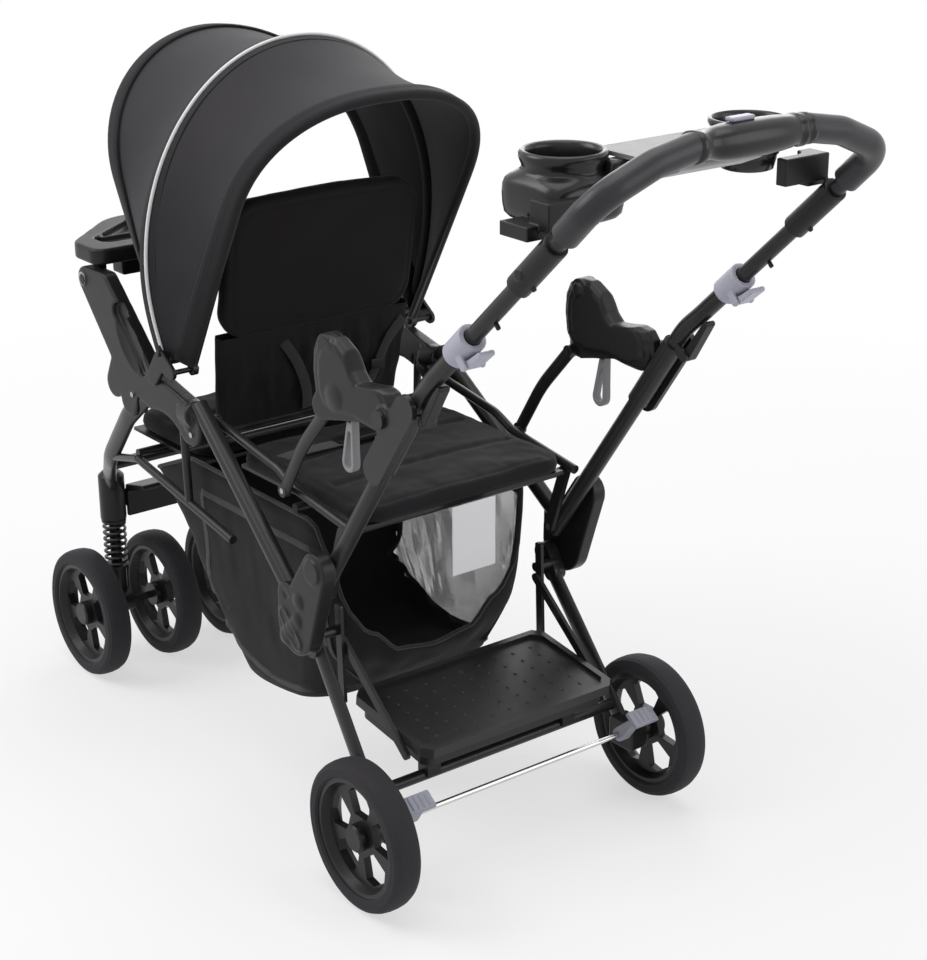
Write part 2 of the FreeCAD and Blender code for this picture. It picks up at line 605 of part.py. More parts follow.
# Swivel posts, sprung forks and the front axles under the barrels
sizes(postRadius=9, postTop=300, postBottom=132, seatRadius=20, seatThick=4,
      springBottom=166, springTurns=6.5, springCoilRadius=17, springWire=2.4, forkRadius=15, forkBottom=88,
      forkPocket=112, forkThick=22, frontAxleRadius=6, frontTwin=130)
barrelBore = bound("Part::Cylinder", "barrelBore", Radius="Sizes.postRadius + Sizes.runClear",
                   Height="Sizes.postTop - Sizes.barrelBottom + Sizes.overrun",
                   Placement__Base__x="Sizes.barrelX", Placement__Base__y="Sizes.barrelY",
                   Placement__Base__z="Sizes.barrelBottom - Sizes.overrun + Sizes.looseClear")
barrelMade = cut_away("barrelMade", barrelWhole, [barrelBore])
doc.recompute()
barrel = barrelMade.Shape.copy()
frontLeg = frontLeg.cut(barrelWhole.Shape)
frontLeg = max(frontLeg.Solids, key=lambda solid: solid.Volume)
panel = panel.cut([side_tube, frontLeg])
panel = max(panel.Solids, key=lambda solid: solid.Volume)
node("strut_barrels", *both(barrel))

post = rod(d.postRadius, Vector(d.barrelX, d.barrelY, d.postBottom),
           Vector(d.barrelX, d.barrelY, d.postTop))
seatTopZ = d.barrelBottom - d.looseClear
upperSeat = rod(d.seatRadius, Vector(d.barrelX, d.barrelY, seatTopZ - d.seatThick),
                Vector(d.barrelX, d.barrelY, seatTopZ))
post = post.fuse(upperSeat)
forkTopZ = d.springBottom - d.springWire - d.slipGap
fork = rod(d.forkRadius, Vector(d.barrelX, d.barrelY, d.forkBottom), Vector(d.barrelX, d.barrelY, forkTopZ))
fork = fork.fuse(rod(d.seatRadius, Vector(d.barrelX, d.barrelY, forkTopZ - d.seatThick),
                     Vector(d.barrelX, d.barrelY, forkTopZ)))
nose = capsule((d.barrelY, d.wheelRadius), d.forkRadius + d.seatThick, (-d.wheelbase, d.wheelRadius),
               d.forkRadius, d.barrelX - d.forkThick / 2, d.barrelX + d.forkThick / 2)
fork = fork.fuse(nose)
fork = fork.cut(rod(d.postRadius + d.runClear, Vector(d.barrelX, d.barrelY, d.forkPocket),
                    Vector(d.barrelX, d.barrelY, forkTopZ + d.overrun)))
twinReach = d.frontTwin / 2 + d.hubLength / 2 - d.hubCapThick - d.looseClear
front_axle = rod(d.frontAxleRadius, Vector(d.barrelX - twinReach, -d.wheelbase, d.wheelRadius),
                 Vector(d.barrelX + twinReach, -d.wheelbase, d.wheelRadius))
fork = fork.cut(front_axle).removeSplitter()


def coil_spring():
    """One unbroken round wire wound about the post, with flat ends clear of both seats."""
    low = forkTopZ + d.springWire + d.slipGap
    high = seatTopZ - d.seatThick - d.springWire - d.slipGap
    quarter = 4
    steps = int(d.springTurns * quarter)
    rise = (high - low) / steps

    def place(step):
        angle = 2 * math.pi * step / quarter
        return Vector(d.barrelX + d.springCoilRadius * math.cos(angle),
                      d.barrelY + d.springCoilRadius * math.sin(angle), low + rise * step)
    edges = [Part.Arc(place(i), place(i + 0.5), place(i + 1)).toShape() for i in range(steps)]
    path = Part.Wire(edges)
    ring = Part.Wire(Part.makeCircle(d.springWire, place(0), Vector(0, 1, 0)))
    gap = rise * quarter - 2 * d.springWire
    print("spring: least gap between turns", round(gap, 2))
    return path.makePipeShell([ring], True, False)


spring = coil_spring()
for side, shapes in (("left", [post, fork, front_axle, spring]),
                     ("right", [mirrored(shape) for shape in (post, fork, front_axle, spring)])):
    node(f"caster_post_{side}", shapes[0])
    node(f"caster_fork_{side}", shapes[1], shapes[2])
    node(f"suspension_spring_{side}", shapes[3])
for side, sign in (("left", 1), ("right", -1)):
    outer = sign * (d.barrelX + d.frontTwin / 2)
    inner = sign * (d.barrelX - d.frontTwin / 2)
    node(f"front_tyres_{side}", wheel_pieces(tyre, outer, -d.wheelbase, sign < 0),
         wheel_pieces(tyre, inner, -d.wheelbase, sign > 0))
    node(f"front_rims_{side}", wheel_pieces(rim, outer, -d.wheelbase, sign < 0),
         wheel_pieces(rim, inner, -d.wheelbase, sign > 0))

# Cross bar between the front legs, and the footrest between the strut barrels
sizes(barY=-792, barZ=369, barRadius=9, footHalf=104, footFront=-872, footRear=-812, footTop=312,
      footFrontTop=298, footLip=244, footThick=9)
legAtBar = d.legShinX + (d.legEndX - d.legShinX) * (d.barY - d.legShinY) / (d.legEndY - d.legShinY)
cross_bar = rod(d.barRadius, Vector(-legAtBar, d.barY, d.barZ), Vector(legAtBar, d.barY, d.barZ))
cross_bar = cross_bar.cut([frontLeg, mirrored(frontLeg)])
cross_bar = max(cross_bar.Solids, key=lambda solid: solid.Volume)
node("front_leg_frame", *both(frontLeg), cross_bar)
footOutline = [(d.footRear, d.footTop), (d.footFront, d.footFrontTop), (d.footFront, d.footLip),
               (d.footFront + d.footThick, d.footLip),
               (d.footFront + d.footThick, d.footFrontTop - d.footThick),
               (d.footRear, d.footTop - d.footThick)]
footrest = plate(footOutline, d.footThick / 3, -d.footHalf, d.footHalf)
for side in (1, -1):
    ear = Part.makeBox(d.barrelX - d.footHalf, 2 * d.footThick, 3 * d.footThick,
                       Vector(min(side * d.footHalf, side * d.barrelX), d.barrelY - d.footThick,
                              d.footFrontTop - 4 * d.footThick))
    footrest = footrest.fuse(ear)
footrest = footrest.cut([barrel, mirrored(barrel), frontLeg, mirrored(frontLeg), barrelWhole.Shape,
                         mirrored(barrelWhole.Shape)])
footrest = max(footrest.Solids, key=lambda solid: solid.Volume)
node("footrest", footrest)

# Seat frame: rails, cross tubes, the lower side bars, their drop rods and the links to the fold pins
sizes(railX=187, railRadius=6.5, railFrontY=-432, railFrontZ=545, railMidY=-274, railMidZ=519,
      railPinY=-236, railPinZ=502, railRearY=-96, railRearZ=482, railBend=60, tieY=-432, tieZ=545,
      benchTieY=-120, benchTieZ=474, barSideX=203, barSideRadius=6.5, barFrontY=-636, barFrontZ=432,
      barRearY=-374, barRearZ=386, dropX=207, dropY=-490, dropTopZ=550, dropRadius=6, linkWide=18,
      supportPinRadius=4, supportInner=197, supportThick=10)
rail = round_bar([Vector(d.railX, d.railFrontY, d.railFrontZ), Vector(d.railX, d.railMidY, d.railMidZ),
                  Vector(d.railX, d.railPinY, d.railPinZ), Vector(d.railX, d.railRearY, d.railRearZ)],
                 d.railBend, d.railRadius)
tie = rod(d.railRadius, Vector(d.railX - d.railRadius, d.tieY, d.tieZ),
          Vector(d.panelLow + d.overrun, d.tieY, d.tieZ))
bench_tie = rod(d.railRadius, Vector(-d.railX, d.benchTieY, d.benchTieZ),
                Vector(d.railX, d.benchTieY, d.benchTieZ))
rail = rail.cut([tie, bench_tie])
rail = max(rail.Solids, key=lambda solid: solid.Volume)
panel = panel.cut(tie)
side_bar = rod(d.barSideRadius, Vector(d.barSideX, d.barFrontY, d.barFrontZ),
               Vector(d.barSideX, d.barRearY, d.barRearZ))
barSlope = (d.barRearZ - d.barFrontZ) / (d.barRearY - d.barFrontY)
dropLowZ = d.barFrontZ + barSlope * (d.dropY - d.barFrontY)
drop = rod(d.dropRadius, Vector(d.barSideX, d.dropY, dropLowZ),
           Vector(d.dropX, d.dropY, d.dropTopZ)).cut(side_bar)
drop = max(drop.Solids, key=lambda solid: solid.Volume)
frontStay = round_bar([Vector(d.barSideX, d.barFrontY, d.barFrontZ),
                       Vector(d.legShinX, d.legShinY, d.legShinZ)], 0, d.dropRadius)
frontStay = frontStay.cut([side_bar, frontLeg])
frontStay = max(frontStay.Solids, key=lambda solid: solid.Volume)
panel = panel.cut(drop)
panel = max(panel.Solids, key=lambda solid: solid.Volume)
node("side_panels", *both(panel))
linkHigh = d.linkLow + d.linkThick
link = capsule(handlePin, d.linkWide / 2, (d.benchTieY, d.benchTieZ), d.linkWide / 2 - d.slipGap,
               d.linkLow, linkHigh)
long_pin = rod(d.foldPinRadius, Vector(d.linkLow, *handlePin), Vector(pinHigh, *handlePin))
link = link.cut([long_pin, rail, bench_tie])
support_pin = rod(d.supportPinRadius, Vector(d.railX, d.railPinY, d.railPinZ),
                  Vector(d.supportInner + d.supportThick + d.looseClear, d.railPinY, d.railPinZ)).cut(rail)
support_pin = max(support_pin.Solids, key=lambda solid: solid.Volume)

# Fold pins, panel screws and the tray rivets
sizes(screwRadius=4, screwHead=2.4, rivetRadius=10, rivetHead=2.5, trayPinRadius=4, rivetY=-734, rivetZ=691,
      screwLowY=-440, screwLowZ=528, screwHighY=-604, screwHighZ=545, coverScrewY=-112, coverScrewZ=440,
      trayPinReach=14)
tray_rivet = rod(d.rivetRadius, Vector(panelHigh, d.rivetY, d.rivetZ),
                 Vector(panelHigh + d.rivetHead, d.rivetY, d.rivetZ))
tray_pin = rod(d.trayPinRadius, Vector(d.panelLow - d.trayPinReach, d.rivetY, d.rivetZ),
               Vector(d.panelLow, d.rivetY, d.rivetZ))
screws = []
for y, z, face in ((d.screwLowY, d.screwLowZ, panelHigh), (d.screwHighY, d.screwHighZ, panelHigh),
                   (d.coverScrewY, d.coverScrewZ, coverHigh)):
    screws.append(rod(d.screwRadius, Vector(face, y, z), Vector(face + d.screwHead, y, z)))
node("frame_fasteners", *both(long_pin, leg_pin, support_pin, tray_rivet, tray_pin, *screws))

# Bench: a moulded pan on the bench tie, and the cushion on it
sizes(benchHalf=176, benchFront=-408, benchRear=-92, benchFloorZ=484, benchPanThick=5, benchPanInset=8,
      benchThick=24, benchCrown=5, benchChannels=3, benchRound=26)
benchLength = d.benchRear - d.benchFront
benchPan = Part.makeBox(2 * (d.benchHalf - d.benchPanInset), benchLength - 2 * d.benchPanInset,
                        d.benchPanThick,
                        Vector(-d.benchHalf + d.benchPanInset, d.benchFront + d.benchPanInset,
                               d.benchFloorZ - d.benchPanThick))
benchPan = benchPan.cut([bench_tie, rail, mirrored(rail), link, mirrored(link)])
benchStrut = rod(d.railRadius, Vector(-d.railX, d.railPinY, d.benchFloorZ - d.benchPanThick - d.railRadius),
                 Vector(d.railX, d.railPinY, d.benchFloorZ - d.benchPanThick - d.railRadius))
benchStrut = benchStrut.cut([rail, mirrored(rail)])
benchStrut = max(benchStrut.Solids, key=lambda solid: solid.Volume)
node("seat_frame", *both(rail, side_bar, drop, frontStay, link, tie), bench_tie, benchPan, benchStrut)


def cushion(half, front, rear, floor, thick, crown, channels, round_end, waist=0.94):
    """A crowned pad with sewn channels across it, whose ends draw in along quarter circles."""
    quarter = [math.radians(angle) for angle in (0, 30, 60, 90)]
    ends = [(1 - round_end / half * (1 - math.sin(turn)), 0.4 + 0.6 * math.cos(turn), math.sin(turn))
            for turn in quarter]
    flat = [(share / 2, 1.0, 0.0) for share in (-1, 0, 1)]
    stations = sorted([(-across, height, draw) for across, height, draw in ends] + flat + ends)
    middle = (front + rear) / 2
    wires = []
    for across, height, draw in stations:
        x = across * half
        reach = (rear - front) / 2 - round_end * (1 - math.sqrt(max(1 - draw * draw, 0)))
        top = floor + thick * height
        base = floor + thick * (1 - height) * 0.3
        shoulder = base + (top - base) * waist * 0.6
        edges = [Part.LineSegment(Vector(x, middle + reach * waist, base),
                                  Vector(x, middle - reach * waist, base))]
        ends = [middle - reach + 2 * reach * i / channels for i in range(channels + 1)]
        edges.append(Part.LineSegment(Vector(x, middle - reach * waist, base),
                                      Vector(x, middle - reach, shoulder)))
        heights = [shoulder] + [top - crown * 0.6 * height] * (channels - 1) + [shoulder]
        for i in range(channels):
            half_way = (ends[i] + ends[i + 1]) / 2
            peak = top + crown * height * (0.6 if channels > 1 else 1.0)
            edges.append(Part.Arc(Vector(x, ends[i], heights[i]), Vector(x, half_way, peak),
                                  Vector(x, ends[i + 1], heights[i + 1])))
        edges.append(Part.LineSegment(Vector(x, middle + reach, shoulder),
                                      Vector(x, middle + reach * waist, base)))
        wires.append(Part.Wire([edge.toShape() for edge in edges]))
    pad = Part.makeLoft(wires, True, False)
    return pad.cut(Part.makeBox(2 * half, rear - front, thick, Vector(-half, front, floor - thick)))


bench = cushion(d.benchHalf, d.benchFront, d.benchRear, d.benchFloorZ, d.benchThick, d.benchCrown,
                int(d.benchChannels), d.benchRound)
node("bench_cushion", bench)

# Child's seat: a cushion between the panels and a backrest that reclines on a sleeve
sizes(seatHalf=164, seatFront=-716, seatRear=-516, seatFloorZ=452, seatCushionThick=30, seatCrown=6,
      backHingeY=-490, backHingeZ=486, backHalf=152, backLength=348, backRound=38, seatRound=30,
      backThick=26, backCrown=5,
      backAngle=79.5, backSleeve=6.5, backPin=4, backStart=16, seatPanThick=5)
seat = cushion(d.seatHalf, d.seatFront, d.seatRear, d.seatFloorZ, d.seatCushionThick, d.seatCrown, 2,
               d.seatRound)
node("seat_cushion", seat)
back = cushion(d.backHalf, d.backStart, d.backStart + d.backLength, -d.backThick / 2, d.backThick,
               d.backCrown, 3, d.backRound)
sleeveBore = rod(d.backPin + d.runClear, Vector(-d.railX, 0, 0), Vector(d.railX, 0, 0))
sleeve = rod(d.backSleeve, Vector(-d.backHalf, 0, 0), Vector(d.backHalf, 0, 0))
tongue = Part.makeBox(2 * d.backHalf * 0.9, d.backStart * 1.6, d.seatPanThick,
                      Vector(-d.backHalf * 0.9, 0, -d.seatPanThick / 2))
sleeve = sleeve.fuse(tongue).cut([sleeveBore, back])
sleeve = max(sleeve.Solids, key=lambda solid: solid.Volume)
backPlace = FreeCAD.Placement(Vector(0, d.backHingeY, d.backHingeZ), Rotation(Vector(1, 0, 0), d.backAngle))
back = back.transformed(backPlace.toMatrix())
sleeve = sleeve.transformed(backPlace.toMatrix())
node("seat_back", back, sleeve)
seatPan = Part.makeBox(2 * d.seatHalf, d.seatRear - d.seatFront, d.seatPanThick,
                       Vector(-d.seatHalf, d.seatFront, d.seatFloorZ - d.seatPanThick))
hinge_pin = rod(d.backPin, Vector(-d.barSideX, d.backHingeY, d.backHingeZ),
                Vector(d.barSideX, d.backHingeY, d.backHingeZ))
hinge_pin = hinge_pin.cut([drop, mirrored(drop)])
hinge_pin = max(hinge_pin.Solids, key=lambda solid: solid.Volume)
seatStay = rod(d.dropRadius, Vector(-d.barSideX, d.barFrontY, d.seatFloorZ - d.seatPanThick - d.dropRadius),
               Vector(d.barSideX, d.barFrontY, d.seatFloorZ - d.seatPanThick - d.dropRadius))
seatStay = seatStay.cut([side_bar, mirrored(side_bar), frontStay, mirrored(frontStay)])
seatStay = max(seatStay.Solids, key=lambda solid: solid.Volume)
node("seat_pan", seatPan, hinge_pin, seatStay)

# Basket: a cloth tub whose walls rise towards the rails, hung from the side bars by sewn sleeves
sizes(basketHalf=180.5, basketTopFront=-652, basketTopRear=-172, basketTopZ=462, basketFrontZ=406,
      basketShoulderY=-520, basketLowFront=-508, basketLowRear=-200, basketFloorFront=160,
      basketFloorRear=186, basketWall=3, basketCorner=46, basketLowHalf=160, basketMouthRadius=150,
      basketMouthZ=474, basketMouthDepth=60,
      sleeveThick=2, sleeveWeb=2.5, sleeveInset=24)


def tub(inset, top_rise, floor_rise):
    """The basket's outer or inner form, lofted from its floor up to its rim."""
    def ring(half, front, rear, front_z, rear_z, corner):
        points = [Vector(-half, front, front_z), Vector(half, front, front_z), Vector(half, rear, rear_z),
                  Vector(-half, rear, rear_z)]
        return rounded(points, corner, True)
    top = ring(d.basketHalf - inset, d.basketTopFront + inset, d.basketTopRear - inset,
               d.basketTopZ + top_rise, d.basketTopZ + top_rise, d.basketCorner - inset)
    low = ring(d.basketLowHalf - inset, d.basketLowFront + inset, d.basketLowRear - inset,
               d.basketFloorFront + floor_rise, d.basketFloorRear + floor_rise, d.basketCorner - inset)
    return Part.makeLoft([low, top], True, True)


basket = tub(0, 0, 0).cut(tub(d.basketWall, d.slipGap, d.basketWall))
frontDip = plate([(d.basketTopFront - d.basketCorner, d.basketFrontZ),
                  (d.basketTopFront + d.basketCorner, d.basketFrontZ),
                  (d.basketShoulderY, d.basketTopZ + d.overrun),
                  (d.basketTopFront - d.basketCorner, d.basketTopZ + d.overrun)], 0,
                 -d.basketHalf - d.overrun, d.basketHalf + d.overrun)
mouth = rod(d.basketMouthRadius, Vector(0, d.basketTopRear - d.basketMouthDepth, d.basketMouthZ),
            Vector(0, d.basketTopRear + d.overrun, d.basketMouthZ))
basket = basket.cut([frontDip, mouth])
barAlong = Vector(0, d.barRearY - d.barFrontY, d.barRearZ - d.barFrontZ).normalize()
sleeveStart = Vector(d.barSideX, d.barFrontY, d.barFrontZ) + barAlong * d.sleeveInset
sleeveEnd = Vector(d.barSideX, d.barRearY, d.barRearZ) - barAlong * d.sleeveInset
sleeve = rod(d.barSideRadius + d.sleeveThick, sleeveStart, sleeveEnd)
web = plate([(sleeveStart.y, sleeveStart.z - d.sleeveWeb / 2), (sleeveEnd.y, sleeveEnd.z - d.sleeveWeb / 2),
             (sleeveEnd.y, sleeveEnd.z + d.sleeveWeb / 2),
             (sleeveStart.y, sleeveStart.z + d.sleeveWeb / 2)], 0,
            d.basketHalf - d.basketWall * 2, d.barSideX)
web = web.cut(tub(d.slipGap, d.slipGap, 0))
web = max(web.Solids, key=lambda solid: solid.Volume)
sleeve = sleeve.fuse(web).cut([side_bar, drop, side_tube])
sleeve = max(sleeve.Solids, key=lambda solid: solid.Volume)
basket = basket.fuse([sleeve, mirrored(sleeve)])
basket = max(basket.Solids, key=lambda solid: solid.Volume)
node("basket", basket)

# Canopy: three flat bows on pins in the panels' arms, and the cloth between them
sizes(bowPivotY=-509, bowPivotZ=621, rearPivotY=-482, rearPivotZ=608, bowPinRadius=4, bowBand=8,
      bowThick=6, bowEye=9, midFoot=212, midHalf=238, midHeight=427, midTilt=4, midSplitShare=0.66,
      midPower=2.05, rearFoot=190, rearHalf=192, rearHeight=446, rearTilt=29, rearSplitShare=0.38,
      rearPower=2.4, frontFoot=202.4, frontHalf=209.5, frontHeight=464, frontTilt=-27, frontSplitShare=0.43,
      frontPower=1.96, clothThick=2.4, clothStartShare=0.1)


def bow_curve(foot, half, height, split, power, grow, start=0.0, count=13):
    """Points up one side of a bow, over its top and down the other, in the bow's own plane."""
    legHeight = height * (1 - split)
    right = []
    for i in range(4):
        share = start + (1 - start) * i / 4
        right.append((foot + (half - foot) * math.sin(share * math.pi / 2) + grow, share * legHeight))
    for i in range(count):
        angle = math.pi / 2 * i / (count - 1)
        x = (half + grow) * max(math.cos(angle), 0.0) ** (2 / power)
        z = legHeight + (height * split + grow) * math.sin(angle) ** (2 / power)
        right.append((x, z))
    left = [(-x, z) for x, z in right[-2::-1]]
    return right + left


def plane_point(pivot, tilt, x, up, off=0.0):
    """A bow's own point as a place: the plane leans back by the tilt, and off is the way across it."""
    lean = math.radians(tilt)
    return Vector(x, pivot[0] + up * math.sin(lean) + off * math.cos(lean),
                  pivot[1] + up * math.cos(lean) - off * math.sin(lean))


def band_wire(pivot, tilt, outer, inner, off=0.0):
    """The closed line round the flat face between an outer and an inner bow line."""
    curves = []
    ends = []
    for line in (outer, inner):
        places = [plane_point(pivot, tilt, x, up, off) for x, up in line]
        curve = Part.BSplineCurve()
        curve.interpolate(places)
        curves.append(curve.toShape())
        ends.append((places[0], places[-1]))
    first = Part.LineSegment(ends[0][1], ends[1][1]).toShape()
    last = Part.LineSegment(ends[1][0], ends[0][0]).toShape()
    return Part.Wire([curves[0], first, curves[1], last])


def bow_band(pivot, tilt, foot, half, height, split, power, grow=0.0):
    """The flat band of a bow, or a slightly larger one that clears it."""
    outer = bow_curve(foot, half, height, split, power, d.bowBand / 2 + grow)
    inner = bow_curve(foot, half, height, split, power, -d.bowBand / 2 - grow)
    lean = math.radians(tilt)
    normal = Vector(0, math.cos(lean), -math.sin(lean))
    face = Part.Face(band_wire(pivot, tilt, outer, inner))
    return face.extrude(normal * (d.bowThick + 2 * grow)).translated(normal * (-d.bowThick / 2 - grow))


def make_bow(pivot, tilt, foot, half, height, split, power):
    """A flat bow with an eye at each foot, bored for the pivot pin."""
    bow = bow_band(pivot, tilt, foot, half, height, split, power)
    for sign in (1, -1):
        low = sign * foot - d.bowBand / 2
        high = sign * foot + d.bowBand / 2
        eye = rod(d.bowEye, Vector(low, *pivot), Vector(high, *pivot))
        bore = rod(d.bowPinRadius + d.runClear, Vector(low - d.overrun, *pivot),
                   Vector(high + d.overrun, *pivot))
        bow = bow.fuse(eye).cut(bore)
    return bow.removeSplitter()


bowPivot = (d.bowPivotY, d.bowPivotZ)
rearPivot = (d.rearPivotY, d.rearPivotZ)
midShape = (d.midFoot, d.midHalf, d.midHeight, d.midSplitShare, d.midPower)
rearShape = (d.rearFoot, d.rearHalf, d.rearHeight, d.rearSplitShare, d.rearPower)
frontShape = (d.frontFoot, d.frontHalf, d.frontHeight, d.frontSplitShare, d.frontPower)
mid_bow = make_bow(bowPivot, d.midTilt, *midShape)
rear_bow = make_bow(rearPivot, d.rearTilt, *rearShape)
front_bow = make_bow(bowPivot, d.frontTilt, *frontShape)
node("canopy_bow_middle", mid_bow)
node("canopy_bow_rear", rear_bow)
node("canopy_bow_front", front_bow)


def cloth_span(rear, front, rearGap, frontGap):
    """A thin shell of cloth between the facing sides of two bows."""
    wires = []
    for way, gap, (pivot, tilt, shape) in ((-1, rearGap, rear), (1, frontGap, front)):
        outer = bow_curve(*shape, d.bowBand / 2, d.clothStartShare)
        inner = bow_curve(*shape, d.bowBand / 2 - d.clothThick, d.clothStartShare)
        wires.append(band_wire(pivot, tilt, outer, inner, way * (d.bowThick / 2 + gap)))
    return Part.makeLoft(wires, True, True).Solids[0]


midPlace = (bowPivot, d.midTilt, midShape)
rearPlace = (rearPivot, d.rearTilt, rearShape)
frontPlace = (bowPivot, d.frontTilt, frontShape)
sewnGap = d.slipGap / 3
node("canopy_cloth_rear", cloth_span(rearPlace, midPlace, sewnGap, d.slipGap))
node("canopy_cloth_front", cloth_span(midPlace, frontPlace, d.slipGap, sewnGap))
sizes(pivotRound=15, pivotRoot=13, pivotThick=6, pivotRootY=-534, pivotRootZ=590, pivotTailRadius=10)
pivotHigh = panelHigh + d.pivotThick
mount = capsule(bowPivot, d.pivotRound, (d.pivotRootY, d.pivotRootZ), d.pivotRoot, panelHigh, pivotHigh)
mount = mount.fuse(capsule(bowPivot, d.pivotRound, rearPivot, d.pivotTailRadius, panelHigh, pivotHigh))
front_pin = rod(d.bowPinRadius, Vector(d.frontFoot - d.bowBand, *bowPivot), Vector(panelHigh, *bowPivot))
rear_pin = rod(d.bowPinRadius, Vector(d.rearFoot - d.bowBand, *rearPivot), Vector(panelHigh, *rearPivot))
node("canopy_pivots", *both(mount.fuse([front_pin, rear_pin])))

# Child's tray between the arms, on the rivets' pins
sizes(trayHalf=222, trayLowHalf=199.3, trayRear=-690, traySideFront=-762, trayFront=-866, trayTop=741,
      trayThick=24, trayCorner=40, trayRim=34, trayWell=12, trayRidge=7, trayEar=12, trayUnder=50,
      trayUnderHalf=168)
trayOutline = [(-d.trayHalf, d.trayRear), (d.trayHalf, d.trayRear), (d.trayHalf, d.traySideFront),
               (d.trayHalf * 0.5, d.trayFront), (-d.trayHalf * 0.5, d.trayFront),
               (-d.trayHalf, d.traySideFront)]
tray = level_plate(trayOutline, [d.trayCorner / 2, d.trayCorner / 2, d.trayCorner, 2 * d.trayCorner,
                                 2 * d.trayCorner, d.trayCorner], d.trayTop - d.trayThick, d.trayTop)
wellHalf = d.trayHalf - d.trayRim
wellOutline = [(-wellHalf, d.trayRear - d.trayRim), (wellHalf, d.trayRear - d.trayRim),
               (wellHalf, d.traySideFront), (wellHalf * 0.5, d.trayFront + d.trayRim),
               (-wellHalf * 0.5, d.trayFront + d.trayRim), (-wellHalf, d.traySideFront)]
well = level_plate(wellOutline, d.trayCorner / 2, d.trayTop - d.trayWell, d.trayTop + d.overrun)
ridgeY = (d.trayFront + d.trayRear) / 2
ridge = Part.makeBox(2 * wellHalf, d.trayRidge, d.trayWell - d.overrun,
                     Vector(-wellHalf, ridgeY, d.trayTop - d.trayWell - d.overrun))
tray = softened(tray, d.panelEdge, on_level(d.trayTop))
tray = tray.cut(well).fuse(ridge)
under = Part.makeBox(2 * d.trayUnderHalf, d.trayRim, d.trayUnder - d.trayThick,
                     Vector(-d.trayUnderHalf, d.trayRear - d.trayRim - d.trayCorner / 2,
                            d.trayTop - d.trayUnder))
tray = tray.fuse(under)
for sign in (1, -1):
    earLow = min(sign * d.trayLowHalf, sign * (d.trayLowHalf - d.trayEar))
    ear = capsule((d.rivetY, d.rivetZ), d.trayEar, (d.rivetY, d.trayTop - d.trayThick),
                  d.trayEar - d.slipGap,
                  earLow, earLow + d.trayEar)
    bore = rod(d.trayPinRadius + d.runClear, Vector(earLow - d.overrun, d.rivetY, d.rivetZ),
               Vector(earLow + d.trayEar + d.overrun, d.rivetY, d.rivetZ))
    tray = tray.fuse(ear).cut(bore)
node("child_tray", tray.removeSplitter())

# Lower handle tubes, bent once between the car-seat adapter and the clamp
sizes(bendY=90.6, bendZ=727.3, clampY=170.6, clampZ=801.6, handleBend=130, upperRadius=10.2,
      upperOverlap=20, upperSlide=38, tubeEnd=15, upperAngle=43, straightRun=80, bendX=210)
clampPlace = Vector(d.handleTubeX, d.clampY, d.clampZ)
clampAlong = turned(Vector(0, 1, 0), d.upperAngle)
straightPlace = clampPlace - clampAlong * d.straightRun
bendPlace = Vector(d.bendX, d.bendY, d.bendZ)
pinPlace = Vector(d.lowerTubeX, *handlePin)
lowerAlong = (bendPlace - pinPlace).normalize()
lower_tube = round_bar([pinPlace - lowerAlong * d.tubeEnd, bendPlace, straightPlace, clampPlace],
                       d.handleBend, d.handleTubeRadius)
upperBottom = clampPlace - clampAlong * d.upperOverlap
slideBottom = upperBottom - clampAlong * (d.upperSlide + d.overrun)
lower_tube = lower_tube.cut([rod(d.upperRadius + d.runClear, slideBottom,
                                 clampPlace + clampAlong * d.overrun),
                             rod(d.foldPinRadius + d.runClear, Vector(0, *handlePin),
                                 Vector(coverHigh, *handlePin))])

# Clamp collars with their flip levers
sizes(collarRadius=18, collarBack=20, collarFront=22, leverPinRadius=2.5, leverEye=6,
      leverLength=40, leverThick=7, collarPinDrop=24, leverHalf=11, clampEarThick=4)
collar = rod(d.collarRadius, clampPlace - clampAlong * d.collarBack,
             clampPlace + clampAlong * d.collarFront)
collar = collar.cut([rod(d.upperRadius + d.looseClear, clampPlace,
                         clampPlace + clampAlong * (d.collarFront + d.overrun)),
                     lower_tube, rod(d.upperRadius + d.looseClear, slideBottom, clampPlace)])
below = turned(clampAlong, -90)
leverPin = clampPlace + below * d.collarPinDrop
earBack = clampPlace + below * (d.collarRadius - d.leverPinRadius)


def at_side(place, x):
    return Vector(x, place.y, place.z)


for sign in (1, -1):
    low = d.handleTubeX + sign * (d.leverHalf + d.slipGap)
    high = low + sign * d.clampEarThick
    ear = capsule((earBack.y, earBack.z), d.leverEye, (leverPin.y, leverPin.z), d.leverEye - d.slipGap,
                  min(low, high), max(low, high))
    collar = collar.fuse(ear)
clamp_pin = rod(d.leverPinRadius, at_side(leverPin, d.handleTubeX - d.leverHalf - d.clampEarThick),
                at_side(leverPin, d.handleTubeX + d.leverHalf + d.clampEarThick))
collar = collar.cut([lower_tube, rod(d.upperRadius + d.looseClear, slideBottom,
                                     clampPlace + clampAlong * (d.collarFront + d.overrun))])
collar = collar.fuse(clamp_pin).removeSplitter()
collar = max(collar.Solids, key=lambda solid: solid.Volume)
node("clamp_collars", *both(collar))
leverTip = leverPin + clampAlong * d.leverLength * 0.75 + below * d.leverThick * 0.4
lever = capsule((leverPin.y, leverPin.z), d.leverThick / 2 + d.leverPinRadius * 0.4,
                (leverTip.y, leverTip.z),
                d.leverThick / 2, d.handleTubeX - d.leverHalf, d.handleTubeX + d.leverHalf)
lever = lever.cut([rod(d.leverPinRadius + d.runClear, at_side(leverPin, 0), at_side(leverPin, coverHigh)),
                   rod(d.collarRadius + d.slipGap, clampPlace - clampAlong * d.collarBack * 2,
                       clampPlace + clampAlong * d.collarFront * 2)])
lever = max(lever.Solids, key=lambda solid: solid.Volume)
node("clamp_lever_left", lever)
node("clamp_lever_right", mirrored(lever))

